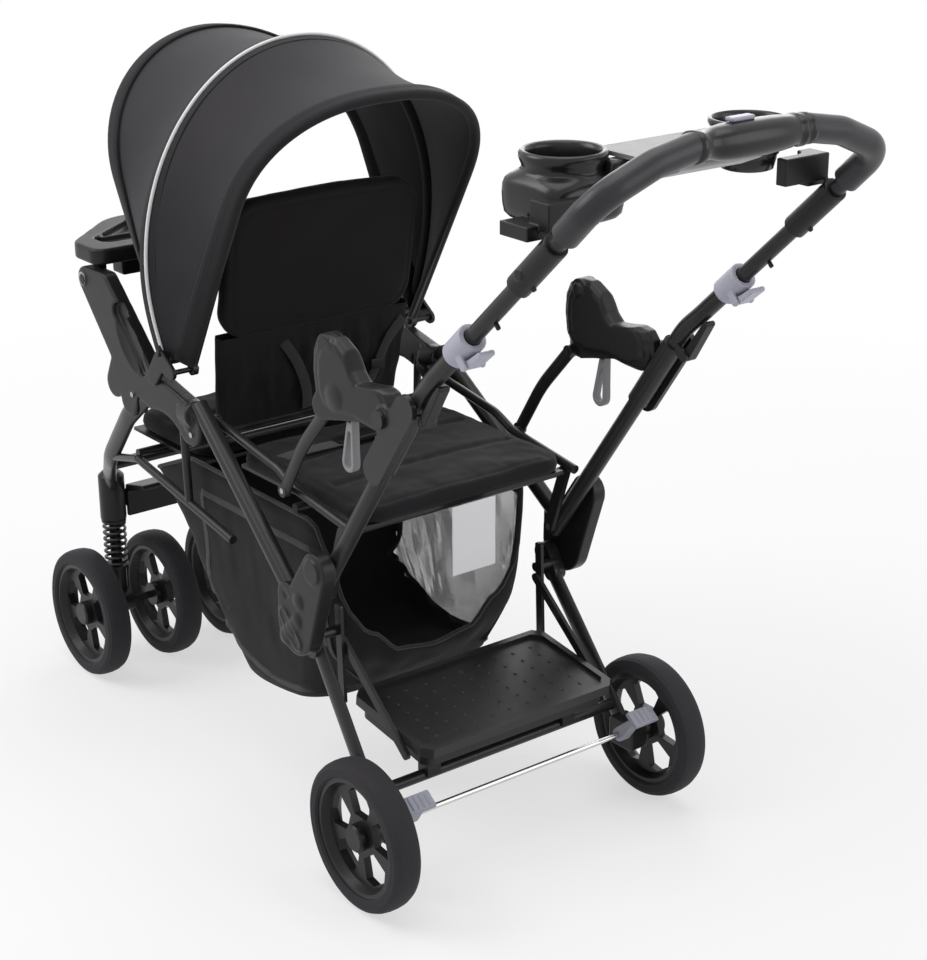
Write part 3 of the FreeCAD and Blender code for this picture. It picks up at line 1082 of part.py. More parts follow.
# Car-seat adapters: a bracket on each tube, the horned saddle that pivots on it, and its trigger
sizes(knobY=24, knobZ=678, knobRadius=12, knobThick=5, knobPinRadius=5, bracketThick=7, bracketGap=0.8,
      bracketLowY=6, bracketLowZ=607, bracketHighY=72, bracketHighZ=702, bracketRound=19,
      saddleInner=196, saddleOuter=221, saddleEye=13.5, saddleDipY=-20, saddleDipZ=676, saddleNoseY=-118,
      saddleNoseZ=655, saddleNoseRadius=18, hornTopY=-106, hornTopZ=738, hornTopRadius=15, hornRootY=-84,
      hornRootZ=676, hornRootRadius=30, saddleWaist=16, frontPinY=-128, frontPinZ=644, frontPinRadius=4,
      reliefHigh=211, reliefRadius=27, tipButtonRadius=9, tipButtonThick=4, claspWall=3)
bracketLow = d.saddleOuter + d.bracketGap
bracketHigh = bracketLow + d.bracketThick
clasp = capsule((d.bracketLowY, d.bracketLowZ), d.bracketRound, (d.bracketHighY, d.bracketHighZ),
                d.bracketRound - d.slipGap, bracketLow, bracketHigh)
ear = capsule((d.knobY, d.knobZ), d.saddleEye, ((d.bracketLowY + d.bracketHighY) / 2,
              (d.bracketLowZ + d.bracketHighZ) / 2), d.bracketRound - d.slipGap, bracketLow, bracketHigh)
clasp = clasp.fuse(ear)
strapRoute = [Vector(0, d.bracketLowY, d.bracketLowZ), Vector(0, d.bracketHighY, d.bracketHighZ)]
strapAlong = (strapRoute[1] - strapRoute[0]).normalize()
claspX = (d.lowerTubeX + 2 * d.bendX) / 3
clasp = clasp.fuse(rod(d.handleTubeRadius + d.claspWall, at_side(strapRoute[0], claspX),
                       at_side(strapRoute[1], claspX)))
knob_pin = rod(d.knobPinRadius, Vector(d.saddleInner - d.overrun, d.knobY, d.knobZ),
               Vector(bracketHigh, d.knobY, d.knobZ))
knob = rod(d.knobRadius, Vector(bracketHigh, d.knobY, d.knobZ),
           Vector(bracketHigh + d.knobThick, d.knobY, d.knobZ))
clearSaddle = rod(d.saddleEye + d.slipGap, Vector(d.saddleInner - d.overrun, d.knobY, d.knobZ),
                  Vector(d.saddleOuter + d.slipGap, d.knobY, d.knobZ))
clasp = clasp.cut([clearSaddle, lower_tube]).fuse([knob_pin, knob]).removeSplitter()
clasp = max(clasp.Solids, key=lambda solid: solid.Volume)
lower_tube = lower_tube.cut(collar)
saddle = capsule((d.knobY, d.knobZ), d.saddleEye, (d.saddleDipY, d.saddleDipZ), d.saddleWaist,
                 d.saddleInner, d.saddleOuter)
saddle = saddle.fuse(capsule((d.saddleDipY, d.saddleDipZ), d.saddleWaist, (d.hornRootY, d.hornRootZ),
                             d.hornRootRadius, d.saddleInner, d.saddleOuter))
saddle = saddle.fuse(capsule((d.hornRootY, d.hornRootZ), d.hornRootRadius, (d.hornTopY, d.hornTopZ),
                             d.hornTopRadius, d.saddleInner, d.saddleOuter))
saddle = saddle.fuse(capsule((d.hornRootY, d.hornRootZ), d.hornRootRadius, (d.saddleNoseY, d.saddleNoseZ),
                             d.saddleNoseRadius, d.saddleInner, d.saddleOuter)).removeSplitter()
saddle = saddle.fuse(rod(d.tipButtonRadius, Vector(d.saddleInner - d.tipButtonThick, d.hornTopY,
                                                   d.hornTopZ),
                         Vector(d.saddleInner, d.hornTopY, d.hornTopZ)))
relief = capsule((d.frontPinY, d.frontPinZ), d.reliefRadius,
                 (d.frontPinY - d.hornRootRadius, d.frontPinZ - d.hornRootRadius), d.hornRootRadius * 1.4,
                 d.saddleInner - d.tipButtonThick * 2, d.reliefHigh)
saddle = saddle.cut(relief)
saddle = saddle.cut(rod(d.knobPinRadius + d.runClear, Vector(d.saddleInner - d.overrun, d.knobY, d.knobZ),
                        Vector(d.saddleOuter + d.overrun, d.knobY, d.knobZ)))
pivotBoss = rod(d.frontPinRadius * 2, Vector(d.supportInner + d.supportThick + d.looseClear, d.frontPinY,
                                             d.frontPinZ),
                Vector(d.reliefHigh + d.overrun, d.frontPinY, d.frontPinZ))
saddle = saddle.fuse(pivotBoss)

sizes(triggerPinY=-62, triggerPinZ=650, triggerPinRadius=2.5, triggerEye=6, triggerDrop=58,
      triggerWide=26, triggerBar=6, triggerLean=-96, triggerLow=203, triggerHigh=214, slotPad=1)
triggerPin = (d.triggerPinY, d.triggerPinZ)
triggerEnd = side_point(0, *triggerPin, d.triggerDrop, d.triggerLean)
loop = capsule(triggerPin, d.triggerEye, (triggerEnd.y, triggerEnd.z), d.triggerWide / 2,
               d.triggerLow, d.triggerHigh)
holeTop = side_point(0, *triggerPin, d.triggerEye * 3, d.triggerLean)
holeEnd = side_point(0, *triggerPin, d.triggerDrop, d.triggerLean)
loop = loop.cut(capsule((holeTop.y, holeTop.z), d.triggerEye * 0.5, (holeEnd.y, holeEnd.z),
                        d.triggerWide / 2 - d.triggerBar, d.triggerLow - d.overrun,
                        d.triggerHigh + d.overrun))
loop = loop.cut(rod(d.triggerPinRadius + d.runClear, Vector(d.triggerLow - d.overrun, *triggerPin),
                    Vector(d.triggerHigh + d.overrun, *triggerPin)))
slotTop = d.triggerEye + d.slotPad
triggerSlot = capsule(triggerPin, slotTop, (triggerEnd.y, triggerEnd.z), d.triggerWide,
                      d.triggerLow - d.slotPad,
                      d.triggerHigh + d.slotPad)
saddle = saddle.cut(triggerSlot)
saddle = saddle.fuse(rod(d.triggerPinRadius, Vector(d.triggerLow - d.overrun, *triggerPin),
                         Vector(d.triggerHigh + d.overrun, *triggerPin))).removeSplitter()
saddle = max(saddle.Solids, key=lambda solid: solid.Volume)
node("seat_adapter_left", saddle)
node("seat_adapter_right", mirrored(saddle))
node("adapter_trigger_left", loop)
node("adapter_trigger_right", mirrored(loop))

# Support tubes from the seat rails up to the adapters' noses
sizes(supportWide=20, supportEye=9, supportBow=8, supportHead=2)
supportX = d.supportInner + d.supportThick / 2
supportLow = Vector(supportX, d.railPinY, d.railPinZ)
supportHigh = Vector(supportX, d.frontPinY, d.frontPinZ)
supportAlong = (supportHigh - supportLow).normalize()
supportMid = (supportLow + supportHigh) * 0.5 + turned(supportAlong, 90) * d.supportBow
support = oval_bar([supportLow, supportMid, supportHigh], d.handleBend * 2, d.supportWide,
                   d.supportThick - d.slipGap)
for place in (supportLow, supportHigh):
    support = support.fuse(rod(d.supportEye, at_side(place, d.supportInner),
                               at_side(place, d.supportInner + d.supportThick)))
support = support.cut(rod(d.supportPinRadius + d.runClear, at_side(supportLow, 0),
                          at_side(supportLow, coverHigh)))
support = support.fuse(rod(d.frontPinRadius, at_side(supportHigh, d.supportInner - d.supportHead),
                           at_side(supportHigh, d.supportInner))).removeSplitter()
node("support_tube_left", support)
node("support_tube_right", mirrored(support))

# Fold latch levers behind the lower tubes, each on a pin in an ear of its tube
sizes(latchPinShare=0.936, latchDrop=26, latchLength=60, latchEye=7, latchTip=4, latchLow=205,
      latchHigh=221, latchPinRadius=2.5, latchLean=1, latchEarThick=4)
latchRoot = pinPlace + (bendPlace - pinPlace) * d.latchPinShare
latchBehind = turned(lowerAlong, -90)
latchPin = latchRoot + latchBehind * d.latchDrop
latchAngle = math.degrees(math.atan2(lowerAlong.z, lowerAlong.y)) + d.latchLean
latchEnd = side_point(0, latchPin.y, latchPin.z, d.latchLength, latchAngle)
latch = capsule((latchPin.y, latchPin.z), d.latchEye - d.slipGap, (latchEnd.y, latchEnd.z), d.latchTip,
                d.latchLow, d.latchHigh)
latch = latch.cut(rod(d.latchPinRadius + d.runClear, at_side(latchPin, 0), at_side(latchPin, coverHigh)))
latchEar = capsule((latchRoot.y, latchRoot.z), d.latchEye, (latchPin.y, latchPin.z), d.latchEye - d.slipGap,
                   d.latchLow - d.slipGap - d.latchEarThick, d.latchLow - d.slipGap)
latchEar = latchEar.fuse(rod(d.latchPinRadius, at_side(latchPin, d.latchLow - d.latchEarThick),
                             at_side(latchPin, d.latchHigh)))
latchEar = latchEar.cut([lower_tube, clasp])
latchEar = max(latchEar.Solids, key=lambda solid: solid.Volume)
node("handle_lower_frame", *both(lower_tube, clasp, latchEar))
node("latch_lever_left", latch)
node("latch_lever_right", mirrored(latch))

# Upper handle tubes, grips and the moulded brackets that join them to the tray
sizes(upperRun=239, gripKneeY=392, gripKneeZ=1009, gripHighX=140, gripHighY=398,
      gripHighZ=1039, gripEndX=79, gripEndZ=1050, gripRadius=16.5, gripBend=62,
      bracketBack=58, bracketSleeve=16, studLowY=231, studLowZ=840, studHighY=294, studHighZ=895.3,
      studRadius=3, studDrop=8)
gripStart = clampPlace + clampAlong * d.upperRun
gripRoute = [gripStart, Vector(d.handleTubeX, d.gripKneeY, d.gripKneeZ),
             Vector(d.gripHighX, d.gripHighY, d.gripHighZ), Vector(d.gripEndX, d.gripHighY, d.gripEndZ)]
grip = round_bar(gripRoute, d.gripBend, d.gripRadius)
upperAlong = (gripStart - upperBottom).normalize()
upper_tube = rod(d.upperRadius, upperBottom, gripStart)
grip = grip.cut(upper_tube)
sleeveBack = gripStart - upperAlong * d.bracketBack
bracket = rod(d.bracketSleeve, sleeveBack, gripStart)

# Parent console: two cup wells joined by a grey plate, and the middle grip with its button and trigger
sizes(cupX=142, cupY=254, cupBoxHalf=50, cupBoxDepth=47, cupBottom=955, cupShoulder=1010, cupTop=1031,
      cupRadius=48, cupBore=40, cupFloor=5, cupCorner=16, farCupBottom=972, plateRear=372, plateFront=258,
      plateTop=1029, plateThick=5, plateHalf=100, trayBodyDrop=34, trayBodyFront=284, trayBodyRear=314)
nearPot = level_plate([(d.cupX - d.cupBoxHalf, d.cupY - d.cupBoxDepth),
                       (d.cupX + d.cupBoxHalf, d.cupY - d.cupBoxDepth),
                       (d.cupX + d.cupBoxHalf, d.cupY + d.cupBoxDepth),
                       (d.cupX - d.cupBoxHalf, d.cupY + d.cupBoxDepth)],
                      d.cupCorner, d.cupBottom, d.cupShoulder)
nearPot = softened(nearPot, d.cupCorner / 3, on_level(d.cupBottom, d.cupShoulder))
cupAt = Vector(d.cupX, d.cupY, 0)


def upright(radius, low, high, x, y):
    return Part.makeCylinder(radius, high - low, Vector(x, y, low))


nearPot = nearPot.fuse(upright(d.cupRadius, d.cupShoulder - d.cupCorner / 2, d.cupTop, d.cupX, d.cupY))
nearBore = upright(d.cupBore, d.cupBottom + d.cupFloor, d.cupTop + d.overrun, d.cupX, d.cupY)
nearPot = nearPot.cut(nearBore)
farCup = Part.makeCone(d.cupBore * 0.75, d.cupRadius, d.cupShoulder - d.farCupBottom,
                       Vector(-d.cupX, d.cupY, d.farCupBottom))
farCup = farCup.fuse(upright(d.cupRadius, d.cupShoulder, d.cupTop, -d.cupX, d.cupY))
farCup = farCup.cut(Part.makeCone(d.cupBore * 0.75 - d.cupFloor, d.cupBore,
                                  d.cupShoulder - d.farCupBottom - d.cupFloor,
                                  Vector(-d.cupX, d.cupY, d.farCupBottom + d.cupFloor)))
farCup = farCup.cut(upright(d.cupBore, d.cupShoulder, d.cupTop + d.overrun, -d.cupX, d.cupY))
trayBody = Part.makeBox(2 * d.cupX, d.trayBodyRear - d.trayBodyFront,
                        d.plateTop - d.plateThick - (d.cupTop - d.trayBodyDrop),
                        Vector(-d.cupX, d.trayBodyFront, d.cupTop - d.trayBodyDrop))
trayBody = trayBody.cut([nearPot, nearBore, farCup,
                         upright(d.cupRadius, d.farCupBottom, d.plateTop, -d.cupX, d.cupY),
                         upright(d.cupRadius, d.cupBottom, d.plateTop, d.cupX, d.cupY)])
trayBody = max(trayBody.Solids, key=lambda solid: solid.Volume)
trayPlate = level_plate([(-d.plateHalf, d.plateFront), (d.plateHalf, d.plateFront),
                         (d.plateHalf, d.plateRear),
                         (-d.plateHalf, d.plateRear)], d.cupCorner, d.plateTop - d.plateThick, d.plateTop)
trayPlate = trayPlate.cut([upright(d.cupRadius, d.cupBottom, d.plateTop + d.overrun, -d.cupX, d.cupY),
                           upright(d.cupRadius, d.cupBottom, d.plateTop + d.overrun, d.cupX, d.cupY)])
armBox = Part.makeBox(d.handleTubeX - d.cupX, 2 * d.bracketSleeve, 2 * d.bracketSleeve,
                      Vector(d.cupX, d.cupY + d.cupBoxDepth - d.bracketSleeve, d.cupBottom + d.cupFloor))
hook = Part.makeBox(2 * d.bracketSleeve, d.cupBoxDepth, d.bracketSleeve,
                    Vector(d.handleTubeX - d.bracketSleeve, d.cupY, d.cupBottom - d.cupFloor))
bracket = bracket.fuse([armBox, hook])
studs = []
for y, z in ((d.studLowY, d.studLowZ), (d.studHighY, d.studHighZ)):
    foot = upperBottom + upperAlong * (Vector(0, y, z) - Vector(0, upperBottom.y,
                                                                upperBottom.z)).dot(upperAlong)
    studs.append(rod(d.studRadius, foot, foot + turned(upperAlong, -90) * (d.upperRadius + d.studDrop)))
bracket = bracket.cut([upper_tube, nearPot, nearBore, grip] + studs)
bracket = max(bracket.Solids, key=lambda solid: solid.Volume)
bracketRight = mirrored(bracket).cut([farCup, trayBody])
bracketRight = max(bracketRight.Solids, key=lambda solid: solid.Volume)
bracket = bracket.cut(trayBody)
bracket = max(bracket.Solids, key=lambda solid: solid.Volume)
studs = [stud.cut(upper_tube) for stud in studs]
studs = [max(stud.Solids, key=lambda solid: solid.Volume) for stud in studs]
node("handle_upper_tubes", *both(upper_tube))
node("handle_grips", *both(grip))
node("handle_brackets", bracket, bracketRight, *both(*studs))
node("cup_holders", nearPot, farCup, trayBody)

sizes(consoleHalf=79, consoleDeep=44, consoleTall=40, consoleRise=4, buttonX=14, buttonLong=34,
      buttonWide=13, buttonHigh=5, buttonSlide=6, triggerBarHalf=62,
      triggerPivotY=350, triggerPivotZ=1016, triggerPivotRadius=3, triggerPaddle=30, paddleThick=7,
      paddleAngle=-155, podRise=13, podTall=20, podDeep=34)
consoleStart = Vector(-d.consoleHalf, d.gripHighY - d.consoleRise, d.gripEndZ)
consoleEnd = Vector(d.consoleHalf, d.gripHighY - d.consoleRise, d.gripEndZ)
console = oval_bar([consoleStart, consoleEnd], 0, d.consoleTall, d.consoleDeep, Vector(0, 1, 0))
console = console.fuse(Part.makeBox(2 * d.consoleHalf * 0.86, d.gripHighY - d.triggerPivotY - d.consoleRise,
                                    d.triggerPivotRadius * 5,
                                    Vector(-d.consoleHalf * 0.86, d.triggerPivotY,
                                           d.triggerPivotZ + d.triggerPivotRadius * 2)))
buttonTopZ = d.gripEndZ + d.podRise + d.podTall / 2
buttonY = d.gripHighY - d.consoleRise
slot = Part.makeBox(d.buttonLong + d.buttonSlide + 2 * d.looseClear, d.buttonWide + 2 * d.looseClear,
                    d.consoleTall / 2, Vector(d.buttonX - d.buttonLong / 2 - d.buttonSlide - d.looseClear,
                                              buttonY - d.buttonWide / 2 - d.looseClear,
                                              buttonTopZ - d.buttonHigh))
pod = oval_bar([consoleStart * 0.6 + consoleEnd * 0.4 + Vector(0, 0, d.podRise),
                consoleStart * 0.1 + consoleEnd * 0.9 + Vector(0, 0, d.podRise)], 0, d.podTall, d.podDeep,
               Vector(0, 1, 0))
console = console.fuse(pod)
console = console.cut([slot, grip, mirrored(grip)])
button = bound("Part::Box", "buttonBlock", Length="Sizes.buttonLong", Width="Sizes.buttonWide",
               Height="Sizes.buttonHigh", Placement__Base__x="Sizes.buttonX - Sizes.buttonLong / 2",
               Placement__Base__y="Sizes.gripHighY - Sizes.consoleRise - Sizes.buttonWide / 2",
               Placement__Base__z="Sizes.gripEndZ + Sizes.podRise + Sizes.podTall / 2 - Sizes.buttonHigh + Sizes.looseClear")
doc.recompute()
buttonRound = doc.addObject("Part::Fillet", "buttonRound")
buttonRound.Base = button
buttonRound.Edges = [(i, d.buttonHigh * 0.4, d.buttonHigh * 0.4) for i in range(1, 13)]
keep_node("handle_button", buttonRound)
triggerAxis = (d.triggerPivotY, d.triggerPivotZ)
paddleEnd = side_point(0, *triggerAxis, d.triggerPaddle, d.paddleAngle)
paddle = capsule(triggerAxis, d.paddleThick * 0.7, (paddleEnd.y, paddleEnd.z), d.paddleThick / 2,
                 -d.triggerBarHalf, d.triggerBarHalf)
paddle = paddle.cut(rod(d.triggerPivotRadius + d.runClear, Vector(-d.consoleHalf, *triggerAxis),
                        Vector(d.consoleHalf, *triggerAxis)))
pivotRod = rod(d.triggerPivotRadius, Vector(-d.consoleHalf * 0.86, *triggerAxis),
               Vector(d.consoleHalf * 0.86, *triggerAxis))
for sign in (1, -1):
    low = min(sign * (d.triggerBarHalf + d.slipGap), sign * d.consoleHalf * 0.86)
    high = max(sign * (d.triggerBarHalf + d.slipGap), sign * d.consoleHalf * 0.86)
    console = console.fuse(plate([(d.triggerPivotY - d.paddleThick, d.triggerPivotZ - d.paddleThick),
                                  (d.triggerPivotY + d.paddleThick, d.triggerPivotZ - d.paddleThick),
                                  (d.triggerPivotY + d.paddleThick, d.triggerPivotZ + 2 * d.paddleThick),
                                  (d.triggerPivotY - d.paddleThick, d.triggerPivotZ + 2 * d.paddleThick)],
                                 0, low, high))
console = console.fuse(pivotRod)
console = console.cut([trayPlate, trayBody])
console = max(console.Solids, key=lambda solid: solid.Volume)
node("handle_console", console.removeSplitter())
trayPlate = trayPlate.cut(console)
trayPlate = max(trayPlate.Solids, key=lambda solid: solid.Volume)
node("parent_tray", trayPlate)
node("handle_trigger", paddle)

# Checks, the common frame, and the files
doc.removeObject("Probe")
doc.recompute()
for item in doc.Objects:
    if "Invalid" in item.State or "Error" in item.State:
        raise RuntimeError(f"{item.Name} failed: {item.State}")
whole = FreeCAD.BoundBox()
faulty = [name for name, item in nodes.items()
          if item.Shape.isNull() or not item.Shape.isValid() or not item.Shape.Solids]
if faulty:
    raise RuntimeError(f"no valid shape: {faulty}")
for item in nodes.values():
    whole.add(item.Shape.BoundBox)
toCentre = FreeCAD.Placement(Vector(0, -(whole.YMin + whole.YMax) / 2, -whole.ZMin), Rotation())
for name, item in nodes.items():
    shape = Part.Compound([solid.transformed(toCentre.toMatrix()) for solid in item.Shape.Solids])
    shape.exportStep(f"parts/{name}.step")
print("nodes", len(nodes))
print("size", round(whole.XLength, 1), round(whole.YLength, 1), round(whole.ZLength, 1))
print("rear axle is at y", round(toCentre.Base.y, 3))
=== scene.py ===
import json
import math

import bmesh
import bpy
from mathutils import Matrix, Vector, noise

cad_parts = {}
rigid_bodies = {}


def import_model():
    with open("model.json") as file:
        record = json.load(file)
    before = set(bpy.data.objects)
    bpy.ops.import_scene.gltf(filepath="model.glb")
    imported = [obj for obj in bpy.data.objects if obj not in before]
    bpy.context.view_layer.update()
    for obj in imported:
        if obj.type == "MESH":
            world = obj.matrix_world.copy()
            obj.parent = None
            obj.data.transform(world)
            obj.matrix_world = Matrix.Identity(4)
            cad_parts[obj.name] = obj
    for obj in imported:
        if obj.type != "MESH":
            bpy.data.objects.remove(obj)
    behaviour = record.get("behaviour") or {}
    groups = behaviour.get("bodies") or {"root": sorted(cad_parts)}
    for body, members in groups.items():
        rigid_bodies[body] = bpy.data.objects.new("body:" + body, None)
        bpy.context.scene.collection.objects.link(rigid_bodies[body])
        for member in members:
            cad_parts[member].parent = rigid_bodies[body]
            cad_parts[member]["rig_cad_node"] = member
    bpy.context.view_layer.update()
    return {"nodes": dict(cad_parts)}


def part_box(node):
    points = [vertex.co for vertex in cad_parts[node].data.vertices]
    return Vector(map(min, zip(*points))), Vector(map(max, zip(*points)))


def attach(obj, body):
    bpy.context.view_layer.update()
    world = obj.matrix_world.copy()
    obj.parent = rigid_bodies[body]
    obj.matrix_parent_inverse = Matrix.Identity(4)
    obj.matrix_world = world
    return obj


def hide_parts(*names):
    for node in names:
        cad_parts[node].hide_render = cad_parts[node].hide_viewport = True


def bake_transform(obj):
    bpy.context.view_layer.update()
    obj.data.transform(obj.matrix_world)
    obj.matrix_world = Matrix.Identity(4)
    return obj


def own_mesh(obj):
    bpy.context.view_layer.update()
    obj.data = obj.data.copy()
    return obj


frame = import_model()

# Places below are millimetres from the middle plane, the rear axle and the floor, as the frame was measured
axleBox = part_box("rear_tyre_left")
axleY = (axleBox[0].y + axleBox[1].y) / 2
mm = 0.001


def place(x, y, z):
    return Vector((x * mm, y * mm + axleY, z * mm))


# Node helpers

def addNode(tree, kind, **settings):
    node = tree.nodes.new(kind)
    for key, value in settings.items():
        if key in node.inputs:
            node.inputs[key].default_value = value
        else:
            setattr(node, key, value)
    return node


def mathNode(tree, operation, first, second=None, third=None):
    node = addNode(tree, "ShaderNodeMath", operation=operation)
    for slot, value in enumerate((first, second, third)):
        if value is None:
            continue
        if isinstance(value, (int, float)):
            node.inputs[slot].default_value = value
        else:
            tree.links.new(value, node.inputs[slot])
    return node.outputs[0]


def newFinish(name, colour, rough, specular=0.3, metallic=0.0, sheen=0.0, coat=0.0):
    material = bpy.data.materials.new(name)
    material.use_nodes = True
    material.diffuse_color = (*colour, 1)
    tree = material.node_tree
    shader = tree.nodes["Principled BSDF"]
    shader.inputs["Base Color"].default_value = (*colour, 1)
    shader.inputs["Roughness"].default_value = rough
    shader.inputs["Metallic"].default_value = metallic
    shader.inputs["Specular IOR Level"].default_value = specular
    shader.inputs["Sheen Weight"].default_value = sheen
    shader.inputs["Sheen Roughness"].default_value = 0.45
    shader.inputs["Coat Weight"].default_value = coat
    shader.inputs["Coat Roughness"].default_value = 0.25
    return material, tree, shader


def tintBy(tree, shader, factor, dark, light):
    mix = addNode(tree, "ShaderNodeMix", data_type="RGBA")
    tree.links.new(factor, mix.inputs["Factor"])
    mix.inputs["A"].default_value = (*dark, 1)
    mix.inputs["B"].default_value = (*light, 1)
    tree.links.new(mix.outputs["Result"], shader.inputs["Base Color"])
    return mix


def bumpBy(tree, shader, height, strength, distance):
    bump = addNode(tree, "ShaderNodeBump", Strength=strength, Distance=distance)
    tree.links.new(height, bump.inputs["Height"])
    tree.links.new(bump.outputs["Normal"], shader.inputs["Normal"])
    return bump


def spread(tree, source, low, high):
    node = addNode(tree, "ShaderNodeMapRange")
    node.inputs["To Min"].default_value = low
    node.inputs["To Max"].default_value = high
    tree.links.new(source, node.inputs["Value"])
    return node.outputs["Result"]


def objectNoise(tree, scale, detail=3.0):
    where = addNode(tree, "ShaderNodeTexCoord")
    speckle = addNode(tree, "ShaderNodeTexNoise", Scale=scale, Detail=detail)
    tree.links.new(where.outputs["Object"], speckle.inputs["Vector"])
    return speckle.outputs["Fac"]


def shade(colour, amount):
    return tuple(min(channel * amount, 1.0) for channel in colour)


# Moulded plastic: fine spark grain, a slow change of tone and a painted highlight that makes convex edges paler, as
# strong as edge sets
def mouldedFinish(name, colour, rough, grain=0.35, grainSize=0.9, specular=0.3, edge=1.8):
    material, tree, shader = newFinish(name, colour, rough, specular)
    cloud = objectNoise(tree, 9, 2)
    pointy = addNode(tree, "ShaderNodeNewGeometry").outputs["Pointiness"]
    # Painted highlight: convex edges, found by pointiness, are made paler
    edgeHighlightMask = addNode(tree, "ShaderNodeMapRange")
    edgeHighlightMask.inputs["From Min"].default_value = 0.52
    edgeHighlightMask.inputs["From Max"].default_value = 0.62
    tree.links.new(pointy, edgeHighlightMask.inputs["Value"])
    # The tint mixes random tone with the painted edge highlight
    toneAndEdgeHighlight = mathNode(tree, "MULTIPLY_ADD", edgeHighlightMask.outputs["Result"], 0.55, mathNode(tree, "MULTIPLY", cloud, 0.45))
    tintBy(tree, shader, toneAndEdgeHighlight, shade(colour, 0.85), shade(colour, edge))
    grainHeight = objectNoise(tree, 1000 / grainSize, 2)
    bumpBy(tree, shader, grainHeight, grain, 0.0004)
    tree.links.new(spread(tree, objectNoise(tree, 40, 4), rough - 0.05, rough + 0.06), shader.inputs["Roughness"])
    return material


# Painted or plated tube: smooth with a slight ripple, small rub marks
def tubeFinish(name, colour, rough, metallic=0.0, specular=0.45, ripple=0.12, coat=0.0):
    material, tree, shader = newFinish(name, colour, rough, specular, metallic, coat=coat)
    marks = objectNoise(tree, 60, 6)
    tintBy(tree, shader, marks, shade(colour, 0.88), shade(colour, 1.14))
    bumpBy(tree, shader, objectNoise(tree, 420, 2), ripple, 0.0003)
    tree.links.new(spread(tree, objectNoise(tree, 90, 5), rough - 0.05, rough + 0.07), shader.inputs["Roughness"])
    return material


# Woven cloth: threads cross at right angles, in the sheet's own lengths or in the object's
def weaveFinish(name, colour, pitch, depth=0.5, rough=0.8, sheen=0.25, fromSheet=True, mottle=0.16, specular=0.2):
    material, tree, shader = newFinish(name, colour, rough, specular, sheen=sheen)
    where = addNode(tree, "ShaderNodeTexCoord")
    parts = addNode(tree, "ShaderNodeSeparateXYZ")
    tree.links.new(where.outputs["UV" if fromSheet else "Object"], parts.inputs[0])
    across = parts.outputs["X"]
    along = parts.outputs["Y"]
    if not fromSheet:
        along = mathNode(tree, "ADD", parts.outputs["Y"], parts.outputs["Z"])
    turns = math.pi / pitch
    warp = mathNode(tree, "SINE", mathNode(tree, "MULTIPLY", across, turns))
    weft = mathNode(tree, "SINE", mathNode(tree, "MULTIPLY", along, turns))
    crossing = mathNode(tree, "MULTIPLY_ADD", mathNode(tree, "MULTIPLY", warp, weft), 0.5, 0.5)
    fuzz = objectNoise(tree, 1400, 2)
    height = mathNode(tree, "MULTIPLY_ADD", fuzz, 0.35, crossing)
    bumpBy(tree, shader, height, depth, pitch * 0.35)
    slow = objectNoise(tree, 14, 4)
    tone = mathNode(tree, "MULTIPLY_ADD", crossing, 0.4, mathNode(tree, "MULTIPLY", slow, 0.6))
    tintBy(tree, shader, tone, shade(colour, 1 - mottle), shade(colour, 1 + mottle * 1.6))
    return material


# Netting: a fine lattice of threads with open holes between them
def nettingFinish(name, colour, pitch, threadShare, rough=0.7):
    material, tree, shader = newFinish(name, colour, rough, 0.2, sheen=0.1)
    where = addNode(tree, "ShaderNodeTexCoord")
    parts = addNode(tree, "ShaderNodeSeparateXYZ")
    tree.links.new(where.outputs["UV"], parts.inputs[0])
    sides = []
    for first, second in ((1, 1), (1, -1)):
        slanted = mathNode(tree, "ADD", mathNode(tree, "MULTIPLY", parts.outputs["X"], first / pitch),
                           mathNode(tree, "MULTIPLY", parts.outputs["Y"], second / pitch))
        sides.append(mathNode(tree, "PINGPONG", slanted, 0.5))
    nearest = mathNode(tree, "MINIMUM", sides[0], sides[1])
    thread = mathNode(tree, "LESS_THAN", nearest, threadShare)
    tree.links.new(thread, shader.inputs["Alpha"])
    tone = objectNoise(tree, 30, 3)
    tintBy(tree, shader, tone, shade(colour, 0.8), shade(colour, 1.3))
    bumpBy(tree, shader, nearest, 0.4, 0.0004)
    return material


# Webbing: ribs across a flat strap, with a darker and paler twill
def webbingFinish(name, colour, rib=1.6):
    material, tree, shader = newFinish(name, colour, 0.7, 0.25, sheen=0.3)
    where = addNode(tree, "ShaderNodeTexCoord")
    parts = addNode(tree, "ShaderNodeSeparateXYZ")
    tree.links.new(where.outputs["UV"], parts.inputs[0])
    ribs = mathNode(tree, "SINE", mathNode(tree, "MULTIPLY", parts.outputs["Y"], 2 * math.pi / (rib * mm)))
    cords = mathNode(tree, "SINE", mathNode(tree, "MULTIPLY", parts.outputs["X"], 2 * math.pi / (rib * mm * 1.4)))
    twill = mathNode(tree, "MULTIPLY_ADD", mathNode(tree, "MULTIPLY", ribs, cords), 0.5, 0.5)
    height = mathNode(tree, "MULTIPLY_ADD", ribs, 0.4, twill)
    bumpBy(tree, shader, height, 0.7, 0.0006)
    tintBy(tree, shader, twill, shade(colour, 0.7), shade(colour, 1.5))
    return material


# Foam grip: fine closed cells under a skin
def foamFinish(name, colour, rough=0.5):
    material, tree, shader = newFinish(name, colour, rough, 0.35, sheen=0.1)
    where = addNode(tree, "ShaderNodeTexCoord")
    cells = addNode(tree, "ShaderNodeTexVoronoi", Scale=1300.0)
    tree.links.new(where.outputs["Object"], cells.inputs["Vector"])
    bumpBy(tree, shader, cells.outputs["Distance"], 0.16, 0.0004)
    tintBy(tree, shader, objectNoise(tree, 22, 4), shade(colour, 0.85), shade(colour, 1.25))
    return material
